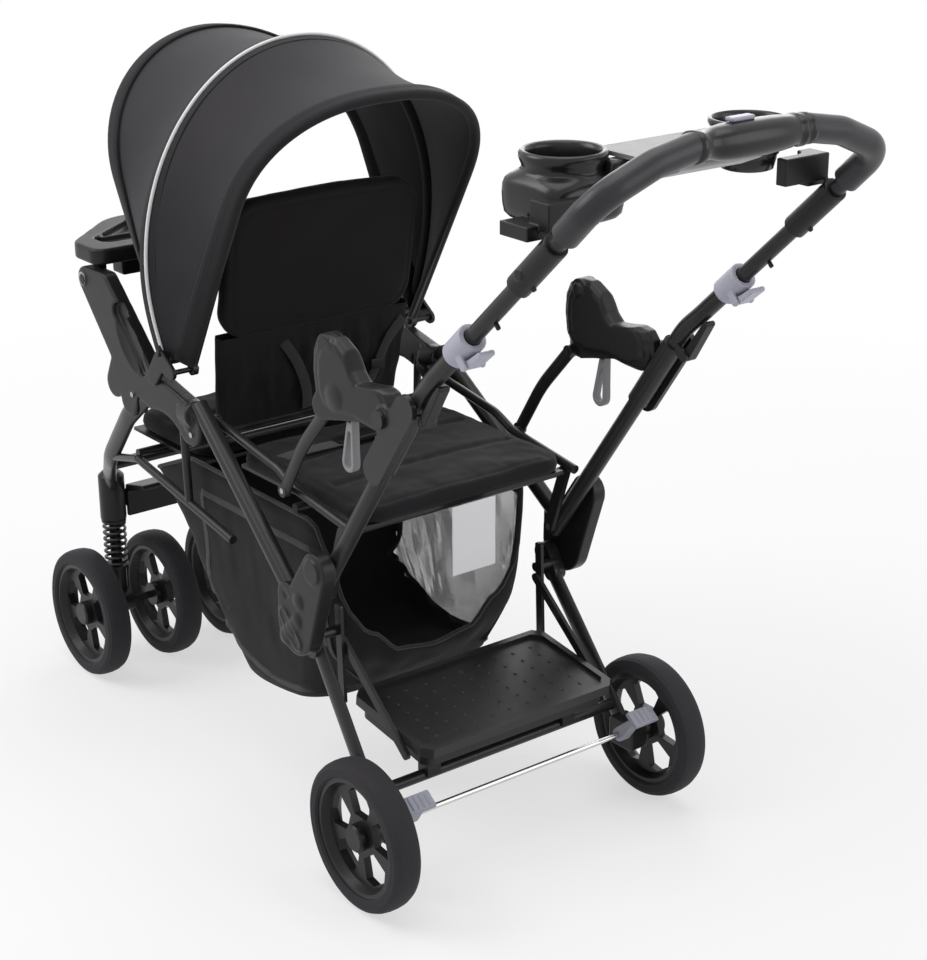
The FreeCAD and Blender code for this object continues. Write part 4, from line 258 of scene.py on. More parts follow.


# Tyre rubber: matt and dusty, with a faint fine bump
def rubberFinish(name, colour):
    material, tree, shader = newFinish(name, colour, 0.72, 0.22)
    dust = objectNoise(tree, 25, 6)
    tintBy(tree, shader, dust, shade(colour, 0.8), shade(colour, 1.35))
    bumpBy(tree, shader, objectNoise(tree, 700, 4), 0.3, 0.0005)
    tree.links.new(spread(tree, dust, 0.62, 0.82), shader.inputs["Roughness"])
    return material


finishes = {
    "blackTube": tubeFinish("satinBlackTube", (0.02, 0.019, 0.021), 0.3, specular=0.28),
    "blackPlastic": mouldedFinish("blackMoulding", (0.013, 0.012, 0.013), 0.34, specular=0.24),
    "glossPlastic": mouldedFinish("smoothBlackMoulding", (0.011, 0.0105, 0.012), 0.24, grain=0.1, specular=0.34),
    "deckPlastic": mouldedFinish("deckMoulding", (0.016, 0.016, 0.017), 0.38, grain=0.4, specular=0.3),
    "rimPlastic": mouldedFinish("rimMoulding", (0.012, 0.012, 0.013), 0.32, grain=0.15, specular=0.24),
    "tyreRubber": rubberFinish("tyreRubber", (0.026, 0.024, 0.027)),
    "palePlastic": mouldedFinish("lilacGreyMoulding", (0.47, 0.475, 0.56), 0.4, grain=0.18, edge=1.15),
    "greyPlastic": mouldedFinish("pedalGreyMoulding", (0.36, 0.365, 0.43), 0.42, grain=0.2, edge=1.2),
    "triggerPlastic": mouldedFinish("triggerGreyMoulding", (0.28, 0.28, 0.29), 0.38, grain=0.12, edge=1.2),
    "trayMetal": mouldedFinish("trayGreyMoulding", (0.21, 0.205, 0.21), 0.42, grain=0.25, edge=1.1),
    "chrome": tubeFinish("brightSteel", (0.62, 0.61, 0.6), 0.16, metallic=1.0, ripple=0.05),
    "zinc": tubeFinish("zincScrew", (0.42, 0.41, 0.4), 0.3, metallic=1.0),
    "darkSteel": tubeFinish("blackenedSteel", (0.05, 0.05, 0.052), 0.3, metallic=0.6),
    "springWire": tubeFinish("springWire", (0.02, 0.02, 0.021), 0.35),
    "foam": foamFinish("gripFoam", (0.02, 0.019, 0.023), 0.34),
    "canopyCloth": weaveFinish("charcoalCanopyWeave", (0.03, 0.028, 0.032), 0.9 * mm, depth=0.45, sheen=0.16,
                               specular=0.14),
    "canopyHem": weaveFinish("charcoalHemWeave", (0.018, 0.017, 0.019), 0.9 * mm, depth=0.5, sheen=0.12,
                             specular=0.14),
    "lining": weaveFinish("blackLiningWeave", (0.014, 0.012, 0.013), 0.9 * mm, depth=0.4, sheen=0.1),
    "seatCloth": weaveFinish("blackSeatWeave", (0.012, 0.0105, 0.012), 1.1 * mm, depth=0.5, sheen=0.1,
                             fromSheet=False,
                             specular=0.12),
    "skirtCloth": weaveFinish("blackSkirtWeave", (0.013, 0.0115, 0.013), 1.0 * mm, depth=0.4, sheen=0.1,
                              specular=0.12),
    "basketCloth": weaveFinish("blackBasketWeave", (0.017, 0.015, 0.017), 1.3 * mm, depth=0.55, sheen=0.1,
                               specular=0.12),
    "netting": nettingFinish("blackNetting", (0.018, 0.017, 0.018), 2.3 * mm, 0.17),
    "webbing": webbingFinish("blackWebbing", (0.02, 0.019, 0.02)),
    "binding": webbingFinish("blackBinding", (0.015, 0.014, 0.015), rib=1.1),
    "piping": weaveFinish("whitePiping", (0.8, 0.8, 0.8), 0.7 * mm, depth=0.3, sheen=0.1, mottle=0.04),
    "thread": newFinish("blackThread", (0.03, 0.028, 0.03), 0.6, 0.3)[0],
    "tagPaper": weaveFinish("whiteTagCloth", (0.78, 0.78, 0.8), 0.6 * mm, depth=0.2, sheen=0.0, mottle=0.04),
}
print("finishes made:", len(finishes))

# What each piece of the frame is finished in
nodeFinish = {
    "blackTube": ["side_tubes", "rear_leg_frame", "front_leg_frame", "seat_frame", "handle_lower_frame",
                  "handle_upper_tubes", "support_tube_left", "support_tube_right", "seat_pan", "canopy_bow_rear",
                  "canopy_bow_middle", "canopy_bow_front"],
    "blackPlastic": ["side_panels", "fold_covers", "strut_barrels", "child_tray", "footrest", "brake_housings",
                     "canopy_pivots", "seat_adapter_left", "seat_adapter_right", "handle_brackets",
                     "caster_fork_left",
                     "caster_fork_right", "caster_post_left", "caster_post_right", "latch_lever_left",
                     "latch_lever_right", "platform_shell"],
    "glossPlastic": ["cup_holders", "handle_console"],
    "deckPlastic": ["standing_platform"],
    "rimPlastic": ["rear_rim_left", "rear_rim_right", "front_rims_left", "front_rims_right"],
    "tyreRubber": ["rear_tyre_left", "rear_tyre_right", "front_tyres_left", "front_tyres_right"],
    "palePlastic": ["clamp_collars", "clamp_lever_left", "clamp_lever_right", "handle_button"],
    "greyPlastic": ["brake_pedals"],
    "triggerPlastic": ["adapter_trigger_left", "adapter_trigger_right", "handle_trigger"],
    "trayMetal": ["parent_tray"],
    "chrome": ["brake_rod"],
    "zinc": ["frame_fasteners"],
    "springWire": ["suspension_spring_left", "suspension_spring_right"],
    "foam": ["handle_grips"],
    "canopyCloth": ["canopy_cloth_front", "canopy_cloth_rear"],
    "seatCloth": ["seat_cushion", "seat_back", "bench_cushion"],
    "basketCloth": ["basket"],
}
for finishName, nodeNames in nodeFinish.items():
    for nodeName in nodeNames:
        slots = frame["nodes"][nodeName].data.materials
        slots.clear()
        slots.append(finishes[finishName])
unpainted = sorted(set(frame["nodes"]) - {n for names in nodeFinish.values() for n in names})
print("frame pieces finished:", len(frame["nodes"]) - len(unpainted), "left:", unpainted)


# Mesh helpers

def newPiece(name, points, faces, finish, smooth=True, lengths=None):
    mesh = bpy.data.meshes.new(name)
    mesh.from_pydata([tuple(point) for point in points], [], faces)
    mesh.validate()
    if lengths is not None:
        layer = mesh.uv_layers.new(name="lengths")
        for loop in mesh.loops:
            layer.data[loop.index].uv = lengths[loop.vertex_index]
    for polygon in mesh.polygons:
        polygon.use_smooth = smooth
    mesh.materials.append(finishes[finish])
    piece = bpy.data.objects.new(name, mesh)
    bpy.context.scene.collection.objects.link(piece)
    return piece


def evenly(points, count):
    # The same line with its points at equal steps
    steps = [0.0]
    for first, second in zip(points, points[1:]):
        steps.append(steps[-1] + (second - first).length)
    total = steps[-1]
    line = []
    k = 0
    for i in range(count):
        wanted = total * i / (count - 1)
        while k < len(steps) - 2 and steps[k + 1] < wanted:
            k += 1
        run = steps[k + 1] - steps[k]
        line.append(points[k].lerp(points[k + 1], (wanted - steps[k]) / run if run else 0.0))
    return line


def smoothLine(points, count):
    # A Catmull-Rom line through the points, at equal steps
    dense = []
    padded = [points[0] * 2 - points[1]] + list(points) + [points[-1] * 2 - points[-2]]
    for i in range(1, len(padded) - 2):
        p0, p1, p2, p3 = padded[i - 1:i + 3]
        for j in range(16):
            t = j / 16
            dense.append(0.5 * (2 * p1 + (p2 - p0) * t + (2 * p0 - 5 * p1 + 4 * p2 - p3) * t ** 2
                                + (3 * p1 - p0 - 3 * p2 + p3) * t ** 3))
    dense.append(points[-1].copy())
    return evenly(dense, count)


def gridPiece(name, rows, finish, thick=0.0, offset=-1.0, flip=False):
    # One sheet over rows of points, with its own lengths for the weave
    wide = len(rows[0])
    points = [point for row in rows for point in row]
    lengths = []
    down = [0.0] * wide
    for r, row in enumerate(rows):
        across = 0.0
        for c, point in enumerate(row):
            if c:
                across += (point - row[c - 1]).length
            if r:
                down[c] += (point - rows[r - 1][c]).length
            lengths.append((across, down[c]))
    faces = []
    for r in range(len(rows) - 1):
        for c in range(wide - 1):
            a = r * wide + c
            face = [a, a + 1, a + wide + 1, a + wide]
            faces.append(face[::-1] if flip else face)
    piece = newPiece(name, points, faces, finish, lengths=lengths)
    if thick:
        shell = piece.modifiers.new("thickness", "SOLIDIFY")
        shell.thickness = thick
        shell.offset = offset
    return piece


def sweep(name, spine, profile, finish, capped=True, ring=False):
    # A closed profile carried along a line: each place on the spine is (point, across, up)
    count = len(profile)
    points = []
    lengths = []
    along = 0.0
    around = [0.0]
    for first, second in zip(profile, profile[1:]):
        around.append(around[-1] + math.hypot(second[0] - first[0], second[1] - first[1]))
    for i, (point, across, up) in enumerate(spine):
        if i:
            along += (point - spine[i - 1][0]).length
        for j, (a, b) in enumerate(profile):
            points.append(point + across * a + up * b)
            lengths.append((around[j], along))
    faces = []
    last = len(spine) if ring else len(spine) - 1
    for i in range(last):
        following = (i + 1) % len(spine)
        for j in range(count):
            k = (j + 1) % count
            faces.append([i * count + j, i * count + k, following * count + k, following * count + j])
    if capped and not ring:
        faces.append(list(range(count))[::-1])
        faces.append([(len(spine) - 1) * count + j for j in range(count)])
    piece = newPiece(name, points, faces, finish, lengths=lengths)
    work = bmesh.new()
    work.from_mesh(piece.data)
    bmesh.ops.recalc_face_normals(work, faces=work.faces)
    work.to_mesh(piece.data)
    work.free()
    return piece


def framesAlong(line, hint):
    # Directions across and up at each point of a line; hint is one direction or one per point
    spine = []
    for i, point in enumerate(line):
        ahead = (line[min(i + 1, len(line) - 1)] - line[max(i - 1, 0)]).normalized()
        wanted = hint[i] if isinstance(hint, list) else hint
        across = (wanted - ahead * wanted.dot(ahead)).normalized()
        spine.append((point, across, ahead.cross(across).normalized()))
    return spine


def roundedBar(width, thick, steps=3):
    # A flat profile with rounded edges
    radius = thick / 2
    profile = []
    for side in (1, -1):
        for i in range(steps * 2 + 1):
            angle = -math.pi / 2 + math.pi * i / (steps * 2)
            profile.append((side * (width / 2 - radius + radius * math.cos(angle)), side * radius * math.sin(angle)))
    return profile


def circle(radius, steps=10):
    return [(radius * math.cos(2 * math.pi * i / steps), radius * math.sin(2 * math.pi * i / steps))
            for i in range(steps)]


def strap(name, points, width, thick, hint, finish="webbing", count=60):
    line = smoothLine(points, count)
    if isinstance(hint, list):
        spread = []
        for i in range(count):
            t = i / (count - 1) * (len(hint) - 1)
            k = min(int(t), len(hint) - 2)
            spread.append(hint[k].lerp(hint[k + 1], t - k))
        hint = spread
    return sweep(name, framesAlong(line, hint), roundedBar(width * mm, thick * mm), finish)


def tube(name, points, radius, finish, count=60, steps=10, hint=Vector((1, 0.01, 0.02))):
    return sweep(name, framesAlong(smoothLine(points, count), hint), circle(radius * mm, steps), finish)


def stitches(name, line, normals, finish="thread", pitch=4.6, long=3.0, radius=0.42, lift=0.2):
    # Short raised dashes along a seam
    total = sum((b - a).length for a, b in zip(line, line[1:]))
    count = max(int(total / (pitch * mm)), 2)
    places = evenly(line, count * 2 + 1)
    points = []
    faces = []
    steps = 5
    for i in range(count):
        middle = places[2 * i + 1]
        ahead = (places[2 * i + 2] - places[2 * i]).normalized()
        share = (2 * i + 1) / (count * 2)
        normal = normals[min(int(share * len(normals)), len(normals) - 1)] if isinstance(normals, list) else normals
        side = ahead.cross(normal).normalized()
        rise = side.cross(ahead).normalized()
        base = len(points)
        for reach, size in ((-0.5, 0.3), (-0.3, 1.0), (0.3, 1.0), (0.5, 0.3)):
            for j in range(steps):
                angle = math.pi * j / (steps - 1)
                points.append(middle + ahead * long * mm * reach
                              + side * math.cos(angle) * radius * mm * size
                              + rise * (math.sin(angle) * radius * mm * size + lift * mm))
        for k in range(3):
            for j in range(steps - 1):
                a = base + k * steps + j
                faces.append([a, a + 1, a + steps + 1, a + steps])
    return newPiece(name, points, faces, finish)


# Canopy: two curved sheets between three bows, with hems round the outer bows and piping over the middle one
canopy = {
    "rear": {"pivot": (-482, 608), "tilt": 29, "foot": 190, "half": 192, "height": 446, "split": 0.38, "power": 2.4},
    "middle": {"pivot": (-509, 621), "tilt": 4, "foot": 212, "half": 238, "height": 427, "split": 0.66,
               "power": 2.05},
    "front": {"pivot": (-509, 621), "tilt": -27, "foot": 202.4, "half": 209.5, "height": 464, "split": 0.43,
              "power": 1.96},
    "bandHalf": 4, "clearance": 0.3, "cloth": 1.6, "clothRoom": 1.8, "startShare": 0.02, "columns": 121, "rows": 21,
    "sag": 0.05, "hemWide": 25, "hemRise": 1.1, "hemNose": 6, "hemDeep": 10, "pipingRadius": 2.5, "pipingLift": 1.4,
    "rearStart": 150, "frontStart": 0.41, "frontReach": 260,
}


def bowLine(bow, grow, start):
    # A bow's own line in its leaning plane, up one side and down the other, and which way is outward
    legHeight = bow["height"] * (1 - bow["split"])
    half = []
    for i in range(24):
        share = start + (1 - start) * i / 24
        half.append((bow["foot"] + (bow["half"] - bow["foot"]) * math.sin(share * math.pi / 2) + grow,
                     share * legHeight))
    for i in range(90):
        angle = math.pi / 2 * i / 89
        half.append(((bow["half"] + grow) * max(math.cos(angle), 0.0) ** (2 / bow["power"]),
                     legHeight + (bow["height"] * bow["split"] + grow) * math.sin(angle) ** (2 / bow["power"])))
    outline = half + [(-x, z) for x, z in half[-2::-1]]
    lean = math.radians(bow["tilt"])
    line = evenly([place(x, bow["pivot"][0] + up * math.sin(lean), bow["pivot"][1] + up * math.cos(lean))
                   for x, up in outline], canopy["columns"])
    plane = Vector((0, math.cos(lean), -math.sin(lean)))
    outward = []
    for i in range(len(line)):
        ahead = (line[min(i + 1, len(line) - 1)] - line[max(i - 1, 0)]).normalized()
        sideways = ahead.cross(plane).normalized()
        outward.append(sideways * (1 if sideways.dot(line[i] - place(0, *bow["pivot"])) > 0 else -1))
    return line, outward


clothOut = canopy["bandHalf"] + canopy["clearance"] + canopy["clothRoom"]
bowLines = {key: bowLine(canopy[key], clothOut, canopy["startShare"]) for key in ("rear", "middle", "front")}


def clothRows(first, second, rows, flutter):
    # Points of a sheet pulled between two bows: it draws in between them, with small folds near its feet
    firstLine, firstOut = bowLines[first]
    secondLine, secondOut = bowLines[second]
    sheet = []
    for r in range(rows):
        t = r / (rows - 1)
        row = []
        for c in range(canopy["columns"]):
            span = (secondLine[c] - firstLine[c]).length
            outward = firstOut[c].lerp(secondOut[c], t).normalized()
            point = firstLine[c].lerp(secondLine[c], t)
            draw = canopy["sag"] * span * 4 * t * (1 - t)
            side = abs(2 * c / (canopy["columns"] - 1) - 1)
            low = max(side - 0.45, 0) / 0.55
            fold = noise.noise(Vector((c * 0.12, t * 2.2, flutter))) * 1.6
            fold += math.sin(t * 9 + c * 0.35 + flutter) * 1.3 * low
            row.append(point - outward * (draw - fold * mm * math.sin(math.pi * t)))
        sheet.append(row)
    return sheet


rearRows = clothRows("rear", "middle", canopy["rows"], 3.1)
frontRows = clothRows("middle", "front", canopy["rows"] + 8, 7.7)
rearCloth = gridPiece("canopyRearCloth", rearRows, "canopyCloth", canopy["cloth"] * mm)
frontCloth = gridPiece("canopyFrontCloth", frontRows, "canopyCloth", canopy["cloth"] * mm)


def hemSpine(key, toward):
    line, outward = bowLines[key]
    other = bowLines[toward][0]
    spine = []
    for i, point in enumerate(line):
        ahead = (line[min(i + 1, len(line) - 1)] - line[max(i - 1, 0)]).normalized()
        across = other[i] - point
        across = (across - ahead * across.dot(ahead)).normalized()
        spine.append((point, across, (outward[i] - across * outward[i].dot(across)).normalized()))
    return spine


def hem(name, key, toward, wide):
    # A sleeve round the bow: flat over the cloth, rounded over the bow's edge and turned back inside
    rise = canopy["hemRise"]
    nose = canopy["hemNose"]
    deep = canopy["hemDeep"]
    profile = [(wide, 0.2), (wide - 1.5, rise), (wide * 0.55, rise * 1.25), (4, rise * 1.3), (-2, rise * 1.1),
               (-nose + 1, -1.2), (-nose - 0.6, -4), (-nose, -deep + 1.5), (-nose + 3, -deep - 1.2), (4, -deep - 2),
               (9, -deep), (wide * 0.62, -4.5), (wide, -2.4)]
    return sweep(name, hemSpine(key, toward), [(a * mm, b * mm) for a, b in profile], "canopyHem")


rearHem = hem("canopyRearHem", "rear", "middle", canopy["hemWide"])
frontHem = hem("canopyFrontHem", "front", "middle", canopy["hemWide"] * 0.9)
middleLine, middleOut = bowLines["middle"]
lastColumn = canopy["columns"] - 1
pipingSpine = [(p + o * canopy["pipingLift"] * mm, o,
                (middleLine[min(i + 1, lastColumn)] - middleLine[max(i - 1, 0)]).normalized().cross(o))
               for i, (p, o) in enumerate(zip(middleLine, middleOut))]
piping = sweep("canopyPiping", pipingSpine, circle(canopy["pipingRadius"] * mm, 12), "piping")
middleSpine = hemSpine("middle", "rear")
middleSleeve = sweep("canopyMiddleSleeve", middleSpine,
                     [(a * mm, b * mm) for a, b in ((13, -2.0), (8, -11.5), (4, -13.5), (-4, -13.5), (-8, -11.5),
                                                    (-13, -2.0), (0, -1.7))],
                     "lining")
for piece, body in ((rearHem, "canopy_rear"), (frontHem, "canopy_front"), (piping, "canopy_middle"),
                    (middleSleeve, "canopy_middle")):
    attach(piece, body)
for key, body in (("rear", "canopy_rear"), ("front", "canopy_front")):
    spine = hemSpine(key, "middle")
    for number, reach in enumerate((canopy["hemWide"] * 0.9 - 4, canopy["hemWide"] * 0.9 - 9)):
        line = [point + across * reach * mm + up * canopy["hemRise"] * 1.22 * mm for point, across, up in spine]
        seam = stitches(f"{key}HemStitches{number}", line, [up for point, across, up in spine])
        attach(seam, body)
spine = hemSpine("middle", "rear")
for number, reach in enumerate((7, -7)):
    line = [point + across * reach * mm + up * 0.25 * mm for point, across, up in spine]
    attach(stitches(f"middleStitches{number}", line, [up for point, across, up in spine]), "canopy_middle")
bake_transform(rearCloth)
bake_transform(frontCloth)
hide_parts("canopy_cloth_rear")
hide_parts("canopy_cloth_front")
print("canopy made")


# Padded forms

def padPoint(u, v, half, long, corner):
    # Maps a square of -1 to 1 onto a rectangle with round corners
    x, y = u * half, v * long
    overX, overY = abs(x) - (half - corner), abs(y) - (long - corner)
    if overX > 0 and overY > 0:
        size = math.hypot(overX, overY)
        scale = max(overX, overY) / size
        x = math.copysign(half - corner + overX * scale, x)
        y = math.copysign(long - corner + overY * scale, y)
    return x, y


def edgeDistance(x, y, half, long, corner):
    qx, qy = abs(x) - half + corner, abs(y) - long + corner
    outside = math.hypot(max(qx, 0), max(qy, 0))
    return corner - outside - min(max(qx, qy), 0)


def roundEdge(distance, radius):
    # How far a rounded edge has dropped at a distance in from the rim
    share = min(max(distance / radius, 0), 1)
    return radius * (1 - math.sqrt(1 - (1 - share) ** 2))


def pad(name, half, long, corner, topAt, baseAt, finish, across=72, along=72, matrix=None):
    # A closed cushion form: a top and an underside over one round-cornered plan, met at the rim
    points = []
    index = {}
    for layer in (0, 1):
        for i in range(along + 1):
            for j in range(across + 1):
                rim = i in (0, along) or j in (0, across)
                if layer and rim:
                    index[layer, i, j] = index[0, i, j]
                    continue
                u, v = -1 + 2 * j / across, -1 + 2 * i / along
                u, v = math.copysign(1 - (1 - abs(u)) ** 1.25, u), math.copysign(1 - (1 - abs(v)) ** 1.25, v)
                x, y = padPoint(u, v, half, long, corner)
                inward = edgeDistance(x, y, half, long, corner)
                top, base = topAt(x, y, inward), baseAt(x, y, inward)
                z = (top + base) / 2 if rim else (base if layer else top)
                index[layer, i, j] = len(points)
                points.append(Vector((x, y, z)) * mm)
    faces = []
    for layer in (0, 1):
        for i in range(along):
            for j in range(across):
                face = [index[layer, i, j], index[layer, i, j + 1], index[layer, i + 1, j + 1], index[layer,
                                                                                                      i + 1, j]]
                faces.append(face[::-1] if layer else face)
    if matrix is not None:
        points = [matrix @ point for point in points]
    return newPiece(name, points, faces, finish, lengths=[(p.x, p.y) for p in points])


def swell(piece, cap, pressure):
    # Inflates a pad a little as cloth, then keeps each point within the cap of where it began
    before = [vertex.co.copy() for vertex in piece.data.vertices]
    cloth = piece.modifiers.new("fill", "CLOTH")
    cloth.settings.quality = 5
    cloth.settings.use_pressure = True
    cloth.settings.uniform_pressure_force = pressure
    cloth.settings.effector_weights.gravity = 0
    cloth.settings.tension_stiffness = 18
    cloth.settings.compression_stiffness = 18
    cloth.settings.bending_stiffness = 0.6
    cloth.collision_settings.use_collision = False
    cloth.point_cache.frame_start = 1
    cloth.point_cache.frame_end = 20
    for step in range(1, 21):
        bpy.context.scene.frame_set(step)
    solved = piece.evaluated_get(bpy.context.evaluated_depsgraph_get())
    moved = [vertex.co.copy() for vertex in solved.data.vertices]
    piece.modifiers.remove(cloth)
    for vertex, start, end in zip(piece.data.vertices, before, moved):
        shift = end - start
        if shift.length > cap * mm:
            shift = shift.normalized() * cap * mm
        vertex.co = start + shift
    piece.data.update()
    bpy.context.scene.frame_set(1)


def channel(value, width, depth):
    # The dip of a sewn seam at a distance from its line
    return -depth * math.exp(-(value / width) ** 2)


bench = {"half": 176, "front": -408, "rear": -92, "floor": 484, "thick": 24, "crown": 6, "corner": 42, "round": 10,
         "seams": (-303, -197), "seamWidth": 6, "seamDepth": 4.2, "rimSeam": 11}
benchMiddle = (bench["front"] + bench["rear"]) / 2
benchLong = (bench["rear"] - bench["front"]) / 2


def benchTop(x, y, inward):
    crown = bench["crown"] * (1 - (x / bench["half"]) ** 2) * (1 - (y / benchLong) ** 2 * 0.7)
    top = bench["thick"] - 2 + crown - roundEdge(inward, bench["round"])
    for seam in bench["seams"]:
        across = y - (seam - benchMiddle)
        if abs(x) < bench["half"] - 24:
            top += channel(across, bench["seamWidth"], bench["seamDepth"])
    top += channel(inward - bench["rimSeam"], 3.0, 1.6)
    top += noise.noise(Vector((x * 0.02, y * 0.03, 4.4))) * 2.2 + noise.noise(Vector((x * 0.07, y * 0.05, 9.1))) * 0.9
    return top


def benchBase(x, y, inward):
    return 0.6 + roundEdge(inward, bench["round"] * 0.8) * 0.9


benchPad = pad("benchPad", bench["half"], benchLong, bench["corner"], benchTop, benchBase, "seatCloth",
               matrix=Matrix.Translation(place(0, benchMiddle, bench["floor"])))
swell(benchPad, 2.0, 4)
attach(benchPad, "frame")
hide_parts("bench_cushion")

seat = {"half": 164, "front": -716, "rear": -516, "floor": 452, "thick": 30, "crown": 6, "corner": 34, "round": 13}
seatMiddle = (seat["front"] + seat["rear"]) / 2
seatLong = (seat["rear"] - seat["front"]) / 2


def seatTop(x, y, inward):
    crown = seat["crown"] * (1 - (x / seat["half"]) ** 2) * (1 - (y / seatLong) ** 2)
    top = seat["thick"] - 2 + crown - roundEdge(inward, seat["round"])
    top += channel(y, 7, 4.5) if abs(x) < seat["half"] - 20 else 0
    top += channel(inward - 13, 3.2, 1.6)
    top += noise.noise(Vector((x * 0.025, y * 0.03, 1.4))) * 2.0
    return top


seatPad = pad("seatPad", seat["half"], seatLong, seat["corner"], seatTop,
              lambda x, y, inward: 0.6 + roundEdge(inward, 11), "seatCloth",
              matrix=Matrix.Translation(place(0, seatMiddle, seat["floor"])))
swell(seatPad, 2.0, 4)
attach(seatPad, "frame")
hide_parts("seat_cushion")

# Backrest: a board in cloth above its seam, and gathered cloth below it
back = {"hinge": (-490, 486), "angle": 79.5, "half": 163, "low": 163, "high": 368, "topCrown": 8,
        "corner": 46, "round": 9, "rimSeam": 12, "skirtLow": 26, "skirtBulge": 15}
backLean = math.radians(back["angle"])
backAcross = Vector((1, 0, 0))
backAlong = Vector((0, math.cos(backLean), math.sin(backLean)))
backFront = Vector((0, -math.sin(backLean), math.cos(backLean)))
backPlace = Matrix((backAcross, backAlong, backFront)).transposed().to_4x4()
backPlace.translation = place(0, *back["hinge"])
backMiddle = (back["low"] + back["high"]) / 2
backLong = (back["high"] - back["low"]) / 2


def backFace(x, y, inward):
    # Towards the child: padded, with one sewn channel
    crown = 5 * (1 - (x / back["half"]) ** 2) * (1 - (y / backLong) ** 2)
    top = 11 + crown - roundEdge(inward, back["round"])
    top += channel(y + 10, 6, 3.6) if abs(x) < back["half"] - 18 else 0
    return top + noise.noise(Vector((x * 0.03, y * 0.03, 6.1))) * 1.4


def backRear(x, y, inward):
    # Towards the pusher: a flat board under cloth, with a welt round its edge
    base = -12 + roundEdge(inward, back["round"])
    base -= channel(inward - back["rimSeam"], 2.2, 1.5)
    base -= channel(inward - back["rimSeam"] * 0.45, 3.6, -1.4)
    base += noise.noise(Vector((x * 0.012 + y * 0.01, y * 0.02, 2.5))) * 1.6
    return base


def crownedTop(piece):
    for vertex in piece.data.vertices:
        local = backPlace.inverted() @ vertex.co
        share = max((local.y / mm - backMiddle) / backLong, 0)
        local.y += back["topCrown"] * mm * share * (1 - (local.x / mm / back["half"]) ** 2)
        vertex.co = backPlace @ local


backPad = pad("backPad", back["half"], backLong, back["corner"], backFace, backRear, "seatCloth", across=80, along=64,
              matrix=backPlace @ Matrix.Translation(Vector((0, backMiddle * mm, 0))))
crownedTop(backPad)
swell(backPad, 1.5, 3)
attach(backPad, "seat_back")
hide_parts("seat_back")


def skirtRow(depth, front, count=97):
    # One row of the gathered cloth, from side to side, at a depth below the board's seam
    s = back["low"] + 6 - depth * (back["low"] + 6 - back["skirtLow"])
    row = []
    for c in range(count):
        u = -1 + 2 * c / (count - 1)
        x = u * (back["half"] - 4 - 10 * depth)
        gather = math.sin(depth * math.pi) ** 0.7
        fold = noise.noise(Vector((u * 5.5, depth * 1.3, 5.2))) * 6
        fold += noise.noise(Vector((u * 14, depth * 3.1, 8.8))) * 3.4
        ripple = math.sin(depth * 16 + noise.noise(Vector((u * 2.5, 3.3, 1.1))) * 5) * 2.0
        bulge = back["skirtBulge"] * math.sin(depth * math.pi) * (1 - u ** 4)
        if front:
            z = 9 + 4 * math.sin(depth * math.pi) * (1 - u ** 4) + fold * 0.3 * gather
        else:
            z = -9 - bulge * 0.55 - (fold + ripple) * gather * (1 - 0.4 * abs(u))
        row.append(backPlace @ (Vector((x, s, z)) * mm))
    return row


for name, front in (("backSkirtRear", False), ("backSkirtFront", True)):
    rows = [skirtRow(i / 40, front) for i in range(41)]
    other = [skirtRow(i / 40, not front) for i in range(41)]
    if not front:
        # The rear sheet turns round both sides to the front one
        for row, facing in zip(rows, other):
            for end, step in ((0, 1), (-1, -1)):
                turn = [row[end].lerp(facing[end], share) + backAcross * (-step * 5 * math.sin(share * math.pi)) * mm
                        for share in (1.0, 0.66, 0.33)]
                row[:] = turn + row if end == 0 else row + turn[::-1]
    skirt = gridPiece(name, rows, "skirtCloth", 1.2 * mm, flip=not front)
    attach(skirt, "seat_back")
hingeLine = [place(x, *back["hinge"]) for x in (-150, -50, 50, 150)]
backSleeve = tube("backHingeSleeve", hingeLine, 6.6, "blackTube", count=12, steps=20, hint=Vector((0, 0, 1)))
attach(backSleeve, "seat_back")
print("pads made")

# Basket: a sagging tub of cloth with a netting window in each side
basket = {"half": 179, "lowHalf": 158, "front": -650, "rear": -176, "frontTop": 406, "sideTop": 461,
          "shoulder": -520, "lowFront": -470, "lowRear": -226, "bottom": 155, "rearBottom": 180, "corner": 44,
          "columns": 144, "levels": 26, "bottomRows": 12, "windowFront": -492, "windowRear": -205, "windowTop": 418,
          "windowFoot": (214, 150, -350), "thick": 1.6,
          "mouth": [(0, 242), (60, 250), (110, 288), (147, 326), (168, 390), (179, 452)]}


def basketRing(t):
    # The tub's outline at a depth t, 0 at the rim and 1 at the foot of the walls
    ease = t ** 0.85
    belly = math.sin(math.pi * min(t, 1)) * 7
    front = basket["front"] + (basket["lowFront"] - basket["front"]) * t ** 1.25
    rear = basket["rear"] + (basket["lowRear"] - basket["rear"]) * t ** 1.5 + belly * 0.5
    half = basket["half"] + (basket["lowHalf"] - basket["half"]) * t ** 1.6 + belly * 0.25
    corner = basket["corner"] + 18 * t
    return front, rear, half, corner, ease


def outlinePoint(share, front, rear, half, corner):
    # A place on a round-cornered rectangle, by its share of the way round from the middle of the rear
    wide, long = 2 * half, rear - front
    arc = math.pi * corner / 2
    runs = [half - corner, arc, long - 2 * corner, arc, wide - 2 * corner, arc, long - 2 * corner, arc, half - corner]
    left = share * sum(runs)
    k = 0
    while k < 8 and left > runs[k]:
        left -= runs[k]
        k += 1
    if k == 0:
        return left, rear
    if k in (1, 3, 5, 7):
        centre = {1: (half - corner, rear - corner), 3: (half - corner, front + corner),
                  5: (-half + corner, front + corner), 7: (-half + corner, rear - corner)}[k]
        start = {1: 90, 3: 0, 5: -90, 7: -180}[k]
        angle = math.radians(start - 90 * left / arc)
        return centre[0] + corner * math.cos(angle), centre[1] + corner * math.sin(angle)
    if k == 2:
        return half, rear - corner - left
    if k == 4:
        return half - corner - left, front
    if k == 6:
        return -half, front + corner + left
    return -half + corner + left, rear


